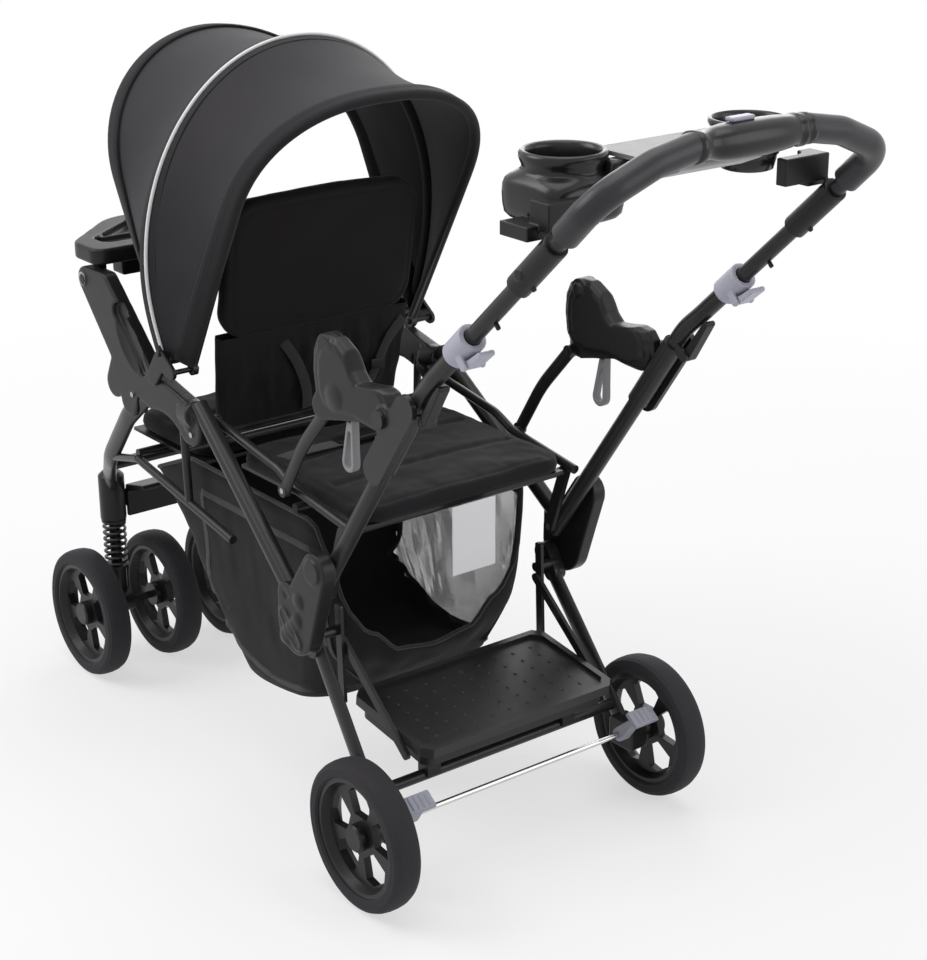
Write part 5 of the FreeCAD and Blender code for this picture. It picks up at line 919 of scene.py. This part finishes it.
def between(table, value):
    # The height that a table of places and heights gives at one place
    for (x0, z0), (x1, z1) in zip(table, table[1:]):
        if value <= x1:
            share = (value - x0) / (x1 - x0)
            share = share * share * (3 - 2 * share)
            return z0 + (z1 - z0) * share
    return table[-1][1]


def rimHeight(x, y):
    # The rim rises from the front to the rails, runs level along them and dips low across the rear
    share = min(max((y - basket["front"]) / (basket["shoulder"] - basket["front"]), 0), 1)
    side = basket["frontTop"] + (basket["sideTop"] - basket["frontTop"]) * share
    rearShare = min(max((y - basket["rear"] + basket["corner"]) / basket["corner"], 0), 1)
    mouth = min(between(basket["mouth"], abs(x)), side)
    return side + (mouth - side) * rearShare


def footHeight(y):
    middle = (basket["lowFront"] + basket["lowRear"]) / 2 - 36
    if y < middle:
        share = (middle - y) / (middle - basket["lowFront"])
        return basket["bottom"] + 30 * share ** 2
    share = (y - middle) / (basket["lowRear"] - middle)
    return basket["bottom"] + (basket["rearBottom"] - basket["bottom"]) * share ** 1.6


rings = []
for level in range(basket["levels"] + 1):
    t = level / basket["levels"]
    front, rear, half, corner, ease = basketRing(t)
    ring = []
    for c in range(basket["columns"]):
        x, y = outlinePoint(c / basket["columns"], front, rear, half, corner)
        rimY = basket["front"] + (y - front) / (rear - front) * (basket["rear"] - basket["front"])
        top = rimHeight(x * basket["half"] / half, rimY)
        z = top + (footHeight(y) - top) * ease
        wave = noise.noise(Vector((x * 0.012, y * 0.012, t * 2.6))) * 5 * math.sin(math.pi * t)
        fine = noise.noise(Vector((x * 0.05, y * 0.045, z * 0.02))) * 2.2 * math.sin(math.pi * t)
        outward = Vector((x / half, 0.6 * (2 * (y - front) / (rear - front) - 1), 0)).normalized()
        ring.append(place(x, y, z) + outward * (wave + fine) * mm)
    rings.append(ring)
for level in range(1, basket["bottomRows"] + 1):
    t = 1 - (level / basket["bottomRows"]) ** 0.9 * 0.97
    front, rear, half, corner, ease = basketRing(1)
    ring = []
    for c in range(basket["columns"]):
        x, y = outlinePoint(c / basket["columns"], front, rear, half, corner)
        middleY = (front + rear) / 2
        x, y = x * t, middleY + (y - middleY) * t
        z = footHeight(y) - 5 * math.sin(math.pi * (1 - t)) + noise.noise(Vector((x * 0.02, y * 0.02, 7.7))) * 2.4
        ring.append(place(x, y, z))
    rings.append(ring)


def windowEdge(y):
    # The window's lower edge runs down from its front corner to its lowest place and up again to the rear
    high, low, lowY = basket["windowFoot"]
    reach = basket["windowFront"] if y < lowY else basket["windowRear"]
    return low + (high - low) * ((y - lowY) / (reach - lowY)) ** 2 * (0.9 if y < lowY else 0.5) + 22


def tubPiece(name, ringSet, finish, thick):
    columns = len(ringSet[0])
    points = [point for ring in ringSet for point in ring]
    lengths = []
    down = 0.0
    for r, ring in enumerate(ringSet):
        if r:
            down += (ring[columns // 4] - ringSet[r - 1][columns // 4]).length
        across = 0.0
        for c, point in enumerate(ring):
            if c:
                across += (point - ring[c - 1]).length
            lengths.append((across, down))
    faces = []
    for r in range(len(ringSet) - 1):
        for c in range(columns):
            k = (c + 1) % columns
            faces.append([r * columns + c, (r + 1) * columns + c, (r + 1) * columns + k, r * columns + k])
    faces.append([(len(ringSet) - 1) * columns + c for c in range(columns)][::-1])
    piece = newPiece(name, points, faces, finish, lengths=lengths)
    piece.data.materials.append(finishes["netting"])
    shell = piece.modifiers.new("thickness", "SOLIDIFY")
    shell.thickness = thick
    return piece


tub = tubPiece("basketTub", rings, "basketCloth", basket["thick"] * mm)
for polygon in tub.data.polygons:
    centre = polygon.center
    y, z = (centre.y - axleY) / mm, centre.z / mm
    side = abs(polygon.normal.x) > 0.6 and polygon.index // basket["columns"] < basket["levels"]
    if side and basket["windowFront"] < y < basket["windowRear"] and windowEdge(y) < z < basket["windowTop"]:
        polygon.material_index = 1
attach(tub, "frame")
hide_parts("basket")


def wallPlace(sign, y, z):
    # The place on the tub's side wall at one y and one height
    best = min((point for ring in rings[:basket["levels"] + 1] for point in ring if point.x * sign > 0.1),
               key=lambda point: abs(point.y - axleY - y * mm) + abs(point.z - z * mm) * 1.2)
    return Vector((best.x + sign * 1.4 * mm, y * mm + axleY, z * mm))


for side, sign in (("Left", 1), ("Right", -1)):
    span = [basket["windowFront"] + (basket["windowRear"] - basket["windowFront"]) * i / 16 for i in range(17)]
    edges = {"Top": [wallPlace(sign, y, basket["windowTop"]) for y in span],
             "Foot": [wallPlace(sign, y, windowEdge(y)) for y in span],
             "Front": [wallPlace(sign, span[0],
                                 windowEdge(span[0]) + (basket["windowTop"] - windowEdge(span[0])) * i / 8)
                       for i in range(9)],
             "Rear": [wallPlace(sign, span[-1],
                                windowEdge(span[-1]) + (basket["windowTop"] - windowEdge(span[-1])) * i / 8)
                      for i in range(9)]}
    for edge, line in edges.items():
        hint = Vector((0, 0, 1)) if edge in ("Top", "Foot") else Vector((0, 1, 0))
        tape = sweep(f"basketBinding{edge}{side}", framesAlong(smoothLine(line, 60), hint),
                     roundedBar(11 * mm, 1.8 * mm), "binding")
        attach(tape, "frame")
rimSpine = []
for i, point in enumerate(rings[0]):
    ahead = (rings[0][(i + 1) % len(rings[0])] - rings[0][i - 1]).normalized()
    outward = Vector((ahead.y, -ahead.x, 0)).normalized()
    if outward.dot(point - place(0, -410, 460)) < 0:
        outward = -outward
    rimSpine.append((point, outward, ahead.cross(outward).normalized()))
rim = sweep("basketRim", rimSpine, circle(3.2 * mm, 8), "binding", ring=True)
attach(rim, "frame")
basketPieces = [piece for piece in bpy.data.objects
                if piece.name.startswith("basket") and piece.type == "MESH" and "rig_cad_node" not in piece]
for piece in basketPieces:
    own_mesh(piece)
print("basket made")

# Moulded pieces: the frame's own solids with the rounded edges and soft corners of real mouldings
def ball(work, centre, radius, stretch=(1, 1, 1)):
    matrix = Matrix.Translation(place(*centre)) @ Matrix.Diagonal((*stretch, 1))
    bmesh.ops.create_uvsphere(work, u_segments=28, v_segments=18, radius=radius * mm, matrix=matrix)


def disc(work, centre, radius, thick, hole=0.0):
    # A round boss across the part, or a ring with a bead of its own when it has a hole
    if not hole:
        matrix = Matrix.Translation(place(*centre)) @ Matrix.Rotation(math.pi / 2, 4, "Y")
        bmesh.ops.create_cone(work, cap_ends=True, segments=40, radius1=radius * mm, radius2=radius * mm,
                              depth=thick * mm, matrix=matrix)
        return
    bead = (radius - hole) / 2
    middle = (radius + hole) / 2
    rows = []
    for i in range(40):
        turn = 2 * math.pi * i / 40
        row = []
        for j in range(10):
            angle = 2 * math.pi * j / 10
            reach = middle + bead * math.cos(angle)
            row.append(work.verts.new(place(centre[0] + thick / 2 * math.sin(angle),
                                            centre[1] + reach * math.cos(turn),
                                            centre[2] + reach * math.sin(turn))))
        rows.append(row)
    for i in range(40):
        for j in range(10):
            work.faces.new((rows[i][j], rows[(i + 1) % 40][j], rows[(i + 1) % 40][(j + 1) % 10],
                            rows[i][(j + 1) % 10]))


def bar(work, first, second, radius, segments=20):
    start, end = place(*first), place(*second)
    turn = (end - start).to_track_quat("Z", "Y").to_matrix().to_4x4()
    bmesh.ops.create_cone(work, cap_ends=True, segments=segments, radius1=radius * mm, radius2=radius * mm,
                          depth=(end - start).length, matrix=Matrix.Translation((start + end) / 2) @ turn)


def moulded(name, node, body, finish, voxel=1.5, rounds=8, adding=None, cutting=None):
    work = bmesh.new()
    work.from_mesh(frame["nodes"][node].data)
    bmesh.ops.remove_doubles(work, verts=work.verts, dist=1e-6)
    if adding:
        adding(work)
    mesh = bpy.data.meshes.new(name)
    work.to_mesh(mesh)
    work.free()
    piece = bpy.data.objects.new(name, mesh)
    bpy.context.scene.collection.objects.link(piece)
    skin = piece.modifiers.new("skin", "REMESH")
    skin.mode = "VOXEL"
    skin.voxel_size = voxel * mm
    skin.use_smooth_shade = True
    if cutting:
        work = bmesh.new()
        cutting(work)
        cutMesh = bpy.data.meshes.new(name + "Cut")
        work.to_mesh(cutMesh)
        work.free()
        cutter = bpy.data.objects.new(name + "Cut", cutMesh)
        bpy.context.scene.collection.objects.link(cutter)
        hollow = piece.modifiers.new("hollow", "BOOLEAN")
        hollow.operation = "DIFFERENCE"
        hollow.solver = "EXACT"
        hollow.object = cutter
    ease = piece.modifiers.new("ease", "SMOOTH")
    ease.factor = 0.5
    ease.iterations = rounds
    solved = piece.evaluated_get(bpy.context.evaluated_depsgraph_get())
    shaped = bpy.data.meshes.new_from_object(solved)
    piece.modifiers.clear()
    piece.data = shaped
    if cutting:
        bpy.data.objects.remove(cutter)
        bpy.data.meshes.remove(cutMesh)
    bpy.data.meshes.remove(mesh)
    shaped.materials.clear()
    shaped.materials.append(finishes[finish])
    for polygon in shaped.polygons:
        polygon.use_smooth = True
    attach(piece, body)
    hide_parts(node)
    return piece


def panelExtras(work):
    for sign in (1, -1):
        disc(work, (sign * 223, -733, 690), 8.5, 5)
        disc(work, (sign * 223, -448, 540), 9, 5)
        bar(work, (sign * 208, -470, 552), (sign * 212, -436, 556), 20)


def panelBowls(work):
    # The oval hollow in each arm, long way down the arm
    for sign in (1, -1):
        matrix = (Matrix.Translation(place(sign * 228, -604, 622)) @ Matrix.Rotation(math.radians(42), 4, "X")
                  @ Matrix.Diagonal((0.2, 0.56, 1, 1)))
        bmesh.ops.create_uvsphere(work, u_segments=48, v_segments=28, radius=58 * mm, matrix=matrix)


def slab(work, sign, outline, centre, share, inner, outer):
    # A plate of an outline drawn in towards its centre, between two distances out from the middle plane
    rows = [[work.verts.new(place(sign * x, centre[0] + (y - centre[0]) * share, centre[1] + (z - centre[1]) * share))
             for y, z in outline] for x in (inner, outer)]
    work.faces.new(rows[0])
    work.faces.new(rows[1][::-1])
    for i in range(len(outline)):
        k = (i + 1) % len(outline)
        work.faces.new((rows[0][i], rows[1][i], rows[1][k], rows[0][k]))


# The horn and the saddle of the seat adapters, seen from the side, and the layers that round them
adapterForm = {"outline": [(-137, 725), (-128, 743), (-108, 753), (-85, 753), (-63, 741), (-49, 718), (-34, 705),
                           (-10, 708), (12, 712), (30, 709), (40, 698), (42, 682), (36, 662), (18, 651), (-10, 652),
                           (-40, 656), (-70, 652), (-100, 650), (-124, 655), (-135, 672), (-139, 700)],
               "centre": (-50, 690),
               "layers": [(1.0, 201, 215), (0.95, 198, 218), (0.88, 195.5, 220.5), (0.76, 194, 222)]}


def adapterExtras(sign):
    def adding(work):
        for share, inner, outer in adapterForm["layers"]:
            slab(work, sign, adapterForm["outline"], adapterForm["centre"], share, inner, outer)
        disc(work, (sign * 221, 24, 678), 16.5, 8, hole=9.5)
        ball(work, (sign * 212, -84, 676), 31, (0.42, 1, 0.9))
        ball(work, (sign * 212, -118, 655), 20, (0.42, 1, 1))
    return adding


def coverExtras(work):
    for sign in (1, -1):
        disc(work, (sign * 242, -116, 434), 17, 5)
        ball(work, (sign * 240, -152, 379), 13, (0.35, 1, 1))
        for reach in (-22, -11, 0, 11, 22):
            lean = math.radians(-47)
            ball(work, (sign * 241, -172 + reach * math.cos(lean), 334 - reach * math.sin(lean)), 12, (0.32, 1, 1))


def bracketForms(work):
    # A sleeve hugs each tube under the cup, with a rivet through it
    for sign in (1, -1):
        bar(work, (sign * 213.5, 268, 893), (sign * 213.5, 330, 951), 15.2, 32)
        disc(work, (sign * 227, 286, 912), 6.5, 6)


mouldings = [
    ("frontTray", "child_tray", "child_tray", "blackPlastic", 1.9, 10, None),
    ("adapterLeft", "seat_adapter_left", "adapter_left", "blackPlastic", 1.4, 9, adapterExtras(1)),
    ("adapterRight", "seat_adapter_right", "adapter_right", "blackPlastic", 1.4, 9, adapterExtras(-1)),
    ("adapterLoopLeft", "adapter_trigger_left", "adapter_trigger_left", "triggerPlastic", 0.9, 5, None),
    ("adapterLoopRight", "adapter_trigger_right", "adapter_trigger_right", "triggerPlastic", 0.9, 5, None),
    ("covers", "fold_covers", "frame", "blackPlastic", 1.5, 8, coverExtras),
    ("collars", "clamp_collars", "handle", "palePlastic", 1.1, 5, None),
    ("camLeverLeft", "clamp_lever_left", "clamp_lever_left", "palePlastic", 0.8, 5, None),
    ("camLeverRight", "clamp_lever_right", "clamp_lever_right", "palePlastic", 0.8, 5, None),
    ("latchLeft", "latch_lever_left", "latch_lever_left", "blackPlastic", 0.9, 5, None),
    ("latchRight", "latch_lever_right", "latch_lever_right", "blackPlastic", 0.9, 5, None),
    ("pedals", "brake_pedals", "brake", "greyPlastic", 1.0, 4, None),
    ("brakeBoxes", "brake_housings", "rear_legs", "blackPlastic", 1.2, 5, None),
    ("canopyPivotCaps", "canopy_pivots", "frame", "blackPlastic", 1.0, 9, None),
    ("barrels", "strut_barrels", "frame", "blackPlastic", 1.2, 8, None),
    ("footRest", "footrest", "frame", "blackPlastic", 1.6, 8, None),
]
for name, node, body, finish, voxel, rounds, adding in mouldings:
    moulded(name, node, body, finish, voxel, rounds, adding)
moulded("panels", "side_panels", "frame", "blackPlastic", 1.8, 8, panelExtras, cutting=panelBowls)
moulded("trayBrackets", "handle_brackets", "handle_top", "blackPlastic", 1.1, 5, bracketForms)
print("mouldings made:", len(mouldings) + 2)


# Cup holders: two different cups and the bar of the tray between them
def stack(name, rings, finish):
    # Rings of points one above another, closed at both ends
    count = len(rings[0])
    points = [point for ring in rings for point in ring]
    faces = []
    for r in range(len(rings) - 1):
        for c in range(count):
            k = (c + 1) % count
            faces.append([r * count + c, r * count + k, (r + 1) * count + k, (r + 1) * count + c])
    faces.append(list(range(count))[::-1])
    faces.append([(len(rings) - 1) * count + c for c in range(count)])
    return newPiece(name, points, faces, finish)


def squareRing(centre, z, halfX, halfY, power, count=72):
    ring = []
    for i in range(count):
        angle = 2 * math.pi * i / count
        c, sn = math.cos(angle), math.sin(angle)
        ring.append(place(centre[0] + halfX * math.copysign(abs(c) ** (2 / power), c),
                          centre[1] + halfY * math.copysign(abs(sn) ** (2 / power), sn), z))
    return ring


cups = {"nearCentre": (141, 255), "farCentre": (-142, 254)}
nearRings = [(955, 40, 38, 4), (955.6, 45, 43, 4.2), (958, 50, 48, 4.6), (963, 53.5, 51.5, 5), (972, 55, 53, 5),
             (984, 55.6, 53.6, 5), (994, 55.4, 53.4, 4.8), (1000, 54, 52, 4.4), (1004, 51.5, 50, 3.6),
             (1007, 48.5, 48, 2.9), (1009.5, 46.6, 46.6, 2.3), (1012, 46, 46, 2), (1016, 46.2, 46.2, 2),
             (1020, 48, 48, 2), (1024, 49.4, 49.4, 2), (1028, 49.4, 49.4, 2), (1030.8, 48, 48, 2), (1032.4,
                                                                                                    45.8, 45.8, 2),
             (1031, 42.2, 42.2, 2), (1026, 40.6, 40.6, 2), (1010, 40, 40, 2), (975, 37, 37, 2), (963, 35, 35, 2),
             (961, 30, 30, 2)]
farRings = [(972, 27, 27, 2), (973.5, 31, 31, 2), (985, 34, 34, 2), (991, 35, 35, 2), (992, 37, 37, 2),
            (1007, 39, 39, 2), (1008.5, 41, 41, 2), (1020, 43, 43, 2), (1023, 46, 46, 2), (1027, 48, 48, 2),
            (1030.4, 47.6, 47.6, 2), (1032, 46, 46, 2), (1032.4, 44, 44, 2), (1031, 42.2, 42.2, 2),
            (1026, 40.6, 40.6, 2), (1010, 38.5, 38.5, 2), (982, 33, 33, 2), (977, 28, 28, 2)]
for name, centre, rings_ in (("nearCup", cups["nearCentre"], nearRings), ("farCup", cups["farCentre"], farRings)):
    cup = stack(name, [squareRing(centre, *ring) for ring in rings_], "glossPlastic")
    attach(cup, "handle_top")
    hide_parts("cup_holders")


def sideRing(x, centreY, centreZ, halfY, halfZ, power, count=48):
    ring = []
    for i in range(count):
        angle = 2 * math.pi * i / count
        c, sn = math.cos(angle), math.sin(angle)
        ring.append(place(x, centreY + halfY * math.copysign(abs(c) ** (2 / power), c),
                          centreZ + halfZ * math.copysign(abs(sn) ** (2 / power), sn)))
    return ring


consoleRadii = [(88, 15), (86, 17.6), (78, 17.6), (75, 16.2), (70, 15.6), (63, 15.6), (58, 16.6), (50, 18.2),
                (38, 19.6),
                (20, 20.2), (0, 20.2), (-20, 20), (-40, 19.2), (-52, 18.2), (-60, 17), (-64, 16.8), (-67, 18.4),
                (-71, 18.4), (-74, 16.6), (-78, 16.4), (-80, 17.6), (-86, 17.6), (-88, 15)]
console = stack("gripConsole", [sideRing(x, 396 + (radius - 17) * 0.4, 1048.4, radius * 1.12, radius, 2.3)
                                for x, radius in consoleRadii], "glossPlastic")
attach(console, "handle_top")
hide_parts("handle_console")
trayBar = stack("trayBar", [[place(x, 299 + a, 1010.5 + b) for a, b in
                             [(12 * math.copysign(abs(math.cos(t)) ** 0.45, math.cos(t)) * grow,
                               13.4 * math.copysign(abs(math.sin(t)) ** 0.45, math.sin(t)) * grow)
                              for t in [2 * math.pi * i / 36 for i in range(36)]]]
                            for x, grow in ((-118, 0.7), (-114, 0.95), (-108, 1), (108, 1), (114, 0.95), (118, 0.7))],
                "glossPlastic")
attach(trayBar, "handle_top")
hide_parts("cup_holders")
print("cups made")

# Straps, buckles and the blank tag
strapSet = {"wide": 25, "narrow": 16, "thick": 1.8}


def rounded(name, centre, size, finish, body, turn=0.0, lean=0.0, edge=1.6):
    # A small moulded block, turned about the upright and then leant
    work = bmesh.new()
    bmesh.ops.create_cube(work, size=1.0)
    bmesh.ops.scale(work, vec=Vector(size) * mm, verts=work.verts)
    bmesh.ops.bevel(work, geom=work.edges[:], offset=edge * mm, segments=3, profile=0.6, affect="EDGES")
    matrix = Matrix.Translation(place(*centre)) @ Matrix.Rotation(turn, 4, "Z") @ Matrix.Rotation(lean, 4, "X")
    bmesh.ops.transform(work, matrix=matrix, verts=work.verts)
    mesh = bpy.data.meshes.new(name)
    work.to_mesh(mesh)
    work.free()
    for polygon in mesh.polygons:
        polygon.use_smooth = True
    mesh.materials.append(finishes[finish])
    piece = bpy.data.objects.new(name, mesh)
    bpy.context.scene.collection.objects.link(piece)
    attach(piece, body)
    return piece


def sewnStrap(name, points, width, hint, body, finish="webbing"):
    piece = strap(name, [place(*point) for point in points], width, strapSet["thick"], hint, finish)
    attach(piece, body)
    return piece


def onBack(x, s, off):
    # A place on the backrest, by its own width, height and distance out of its middle, in the frame's millimetres
    point = backPlace @ (Vector((x, s, off)) * mm)
    return point.x / mm, (point.y - axleY) / mm, point.z / mm


# Waist strap across the back of the seat, its slider and the tail that hangs from it
sewnStrap("backStrapFar", [onBack(-150, 148, -15), onBack(-120, 120, -22), onBack(-96, 70, -26), onBack(-84,
                                                                                                        34, -18)],
          strapSet["narrow"], backAcross, "seat_back")
sewnStrap("backStrapNear", [onBack(60, 150, -14), onBack(40, 118, -23), onBack(22, 74, -26), onBack(12, 36, -17)],
          strapSet["narrow"], backAcross, "seat_back")
rounded("backSlider", onBack(-102, 88, -27), (24, 4, 15), "blackPlastic", "seat_back")
# Bench strap: a ribbed patch on the cushion with a buckle and a short blank tab
benchTopAt = bench["floor"] + bench["thick"] + 5
sewnStrap("benchStrap", [(150, -330, benchTopAt - 6), (110, -322, benchTopAt), (40, -318, benchTopAt + 1),
                         (-30, -322, benchTopAt + 1)], strapSet["wide"], Vector((0, 1, 0)), "frame")
rounded("benchBuckle", (16, -319, benchTopAt + 4), (46, 30, 9), "blackPlastic", "frame", edge=2.6)
rounded("benchTongue", (48, -320, benchTopAt + 3), (26, 22, 5), "blackPlastic", "frame", edge=1.6)
rounded("benchTab", (-6, -300, benchTopAt + 2), (24, 14, 0.9), "tagPaper", "frame", edge=0.3)
rounded("benchTag", (-1, -87, 432.5), (73, 0.9, 99), "tagPaper", "frame", edge=0.3)
print("straps made")

# Camera: the fitted view of the photograph, 927 by 960
camera = {"position": (1582.7, 1944.8, 1490.1), "yaw": 142.08, "pitch": 20.71, "roll": -0.18, "focal": 2067.7,
          "centreX": 473.3, "centreY": 477.9, "imageWide": 927, "imageTall": 960}
yaw, pitch, roll = (math.radians(camera[key]) for key in ("yaw", "pitch", "roll"))
backward = Vector((math.sin(yaw) * math.cos(pitch), -math.cos(yaw) * math.cos(pitch), math.sin(pitch)))
right = Vector((math.cos(yaw), math.sin(yaw), 0))
upward = backward.cross(right)
right, upward = (right * math.cos(roll) + upward * math.sin(roll), upward * math.cos(roll) - right * math.sin(roll))
cameraData = bpy.data.cameras.new("photoCamera")
cameraData.sensor_width = 36
cameraData.lens = camera["focal"] * 36 / camera["imageTall"]
cameraData.shift_x = (camera["imageWide"] / 2 - camera["centreX"]) / camera["imageTall"]
cameraData.shift_y = (camera["centreY"] - camera["imageTall"] / 2) / camera["imageTall"]
cameraData.clip_end = 60
cameraPiece = bpy.data.objects.new("photoCamera", cameraData)
bpy.context.scene.collection.objects.link(cameraPiece)
turned = Matrix((right, upward, backward)).transposed().to_4x4()
turned.translation = place(*camera["position"])
cameraPiece.matrix_world = turned
bpy.context.scene.camera = cameraPiece

# Floor, world and soft lamps
studio = {"floorSize": 120, "floorColour": (0.93, 0.93, 0.935), "worldLight": 0.33, "shadowShare": 0.4,
          "shadowNear": 0.8, "shadowFar": 2.6}
lamps = [
    {"name": "keySoftbox", "place": (2.4, -1.6, 3.0), "size": 2.2, "power": 66},
    {"name": "topSoftbox", "place": (0.0, 0.2, 3.4), "size": 2.6, "power": 40},
    {"name": "fillSoftbox", "place": (-1.6, 3.2, 1.8), "size": 2.4, "power": 30},
    {"name": "frontSoftbox", "place": (-2.4, -2.4, 2.0), "size": 2.2, "power": 30},
]


def seenDirectly(tree):
    # 1 for rays from the eye, from a reflection or through glass
    path = addNode(tree, "ShaderNodeLightPath")
    total = mathNode(tree, "ADD", path.outputs["Is Camera Ray"], path.outputs["Is Glossy Ray"])
    return mathNode(tree, "MINIMUM", mathNode(tree, "ADD", total, path.outputs["Is Transmission Ray"]), 1.0)


bpy.ops.mesh.primitive_grid_add(x_subdivisions=2, y_subdivisions=2, size=studio["floorSize"], location=(0, 0, 0))
floor = bpy.context.active_object
floor.name = "studioFloor"
floorPaint = bpy.data.materials.new("paleFloor")
floorPaint.use_nodes = True
tree = floorPaint.node_tree
tree.nodes.clear()
matt = addNode(tree, "ShaderNodeBsdfDiffuse", Color=(*studio["floorColour"], 1))
glow = addNode(tree, "ShaderNodeEmission", Color=(1, 1, 1, 1), Strength=1.0)
mixed = addNode(tree, "ShaderNodeMixShader")
spot = addNode(tree, "ShaderNodeTexCoord")
reach = addNode(tree, "ShaderNodeVectorMath", operation="LENGTH")
tree.links.new(spot.outputs["Object"], reach.inputs[0])
fade = addNode(tree, "ShaderNodeMapRange")
for key, value in (("From Min", studio["shadowNear"]), ("From Max", studio["shadowFar"]),
                   ("To Min", 1 - studio["shadowShare"]), ("To Max", 1.0)):
    fade.inputs[key].default_value = value
tree.links.new(reach.outputs["Value"], fade.inputs["Value"])
tree.links.new(mathNode(tree, "MULTIPLY", seenDirectly(tree), fade.outputs["Result"]), mixed.inputs[0])
tree.links.new(matt.outputs[0], mixed.inputs[1])
tree.links.new(glow.outputs[0], mixed.inputs[2])
tree.links.new(mixed.outputs[0], addNode(tree, "ShaderNodeOutputMaterial").inputs["Surface"])
floor.data.materials.append(floorPaint)

world = bpy.data.worlds.new("paleStudio")
world.use_nodes = True
bpy.context.scene.world = world
sky = world.node_tree.nodes["Background"]
sky.inputs["Color"].default_value = (1, 1, 1, 1)
level = mathNode(world.node_tree, "MULTIPLY_ADD", seenDirectly(world.node_tree), 1 - studio["worldLight"],
                 studio["worldLight"])
world.node_tree.links.new(level, sky.inputs["Strength"])
for lamp in lamps:
    light = bpy.data.lights.new(lamp["name"], "AREA")
    light.shape = "SQUARE"
    light.size = lamp["size"]
    light.energy = lamp["power"]
    piece = bpy.data.objects.new(lamp["name"], light)
    piece.location = lamp["place"]
    piece.rotation_euler = (Vector((0, 0, 0.5)) - Vector(lamp["place"])).to_track_quat("-Z", "Y").to_euler()
    bpy.context.scene.collection.objects.link(piece)
bpy.context.scene.view_settings.view_transform = "Standard"
print("studio made")
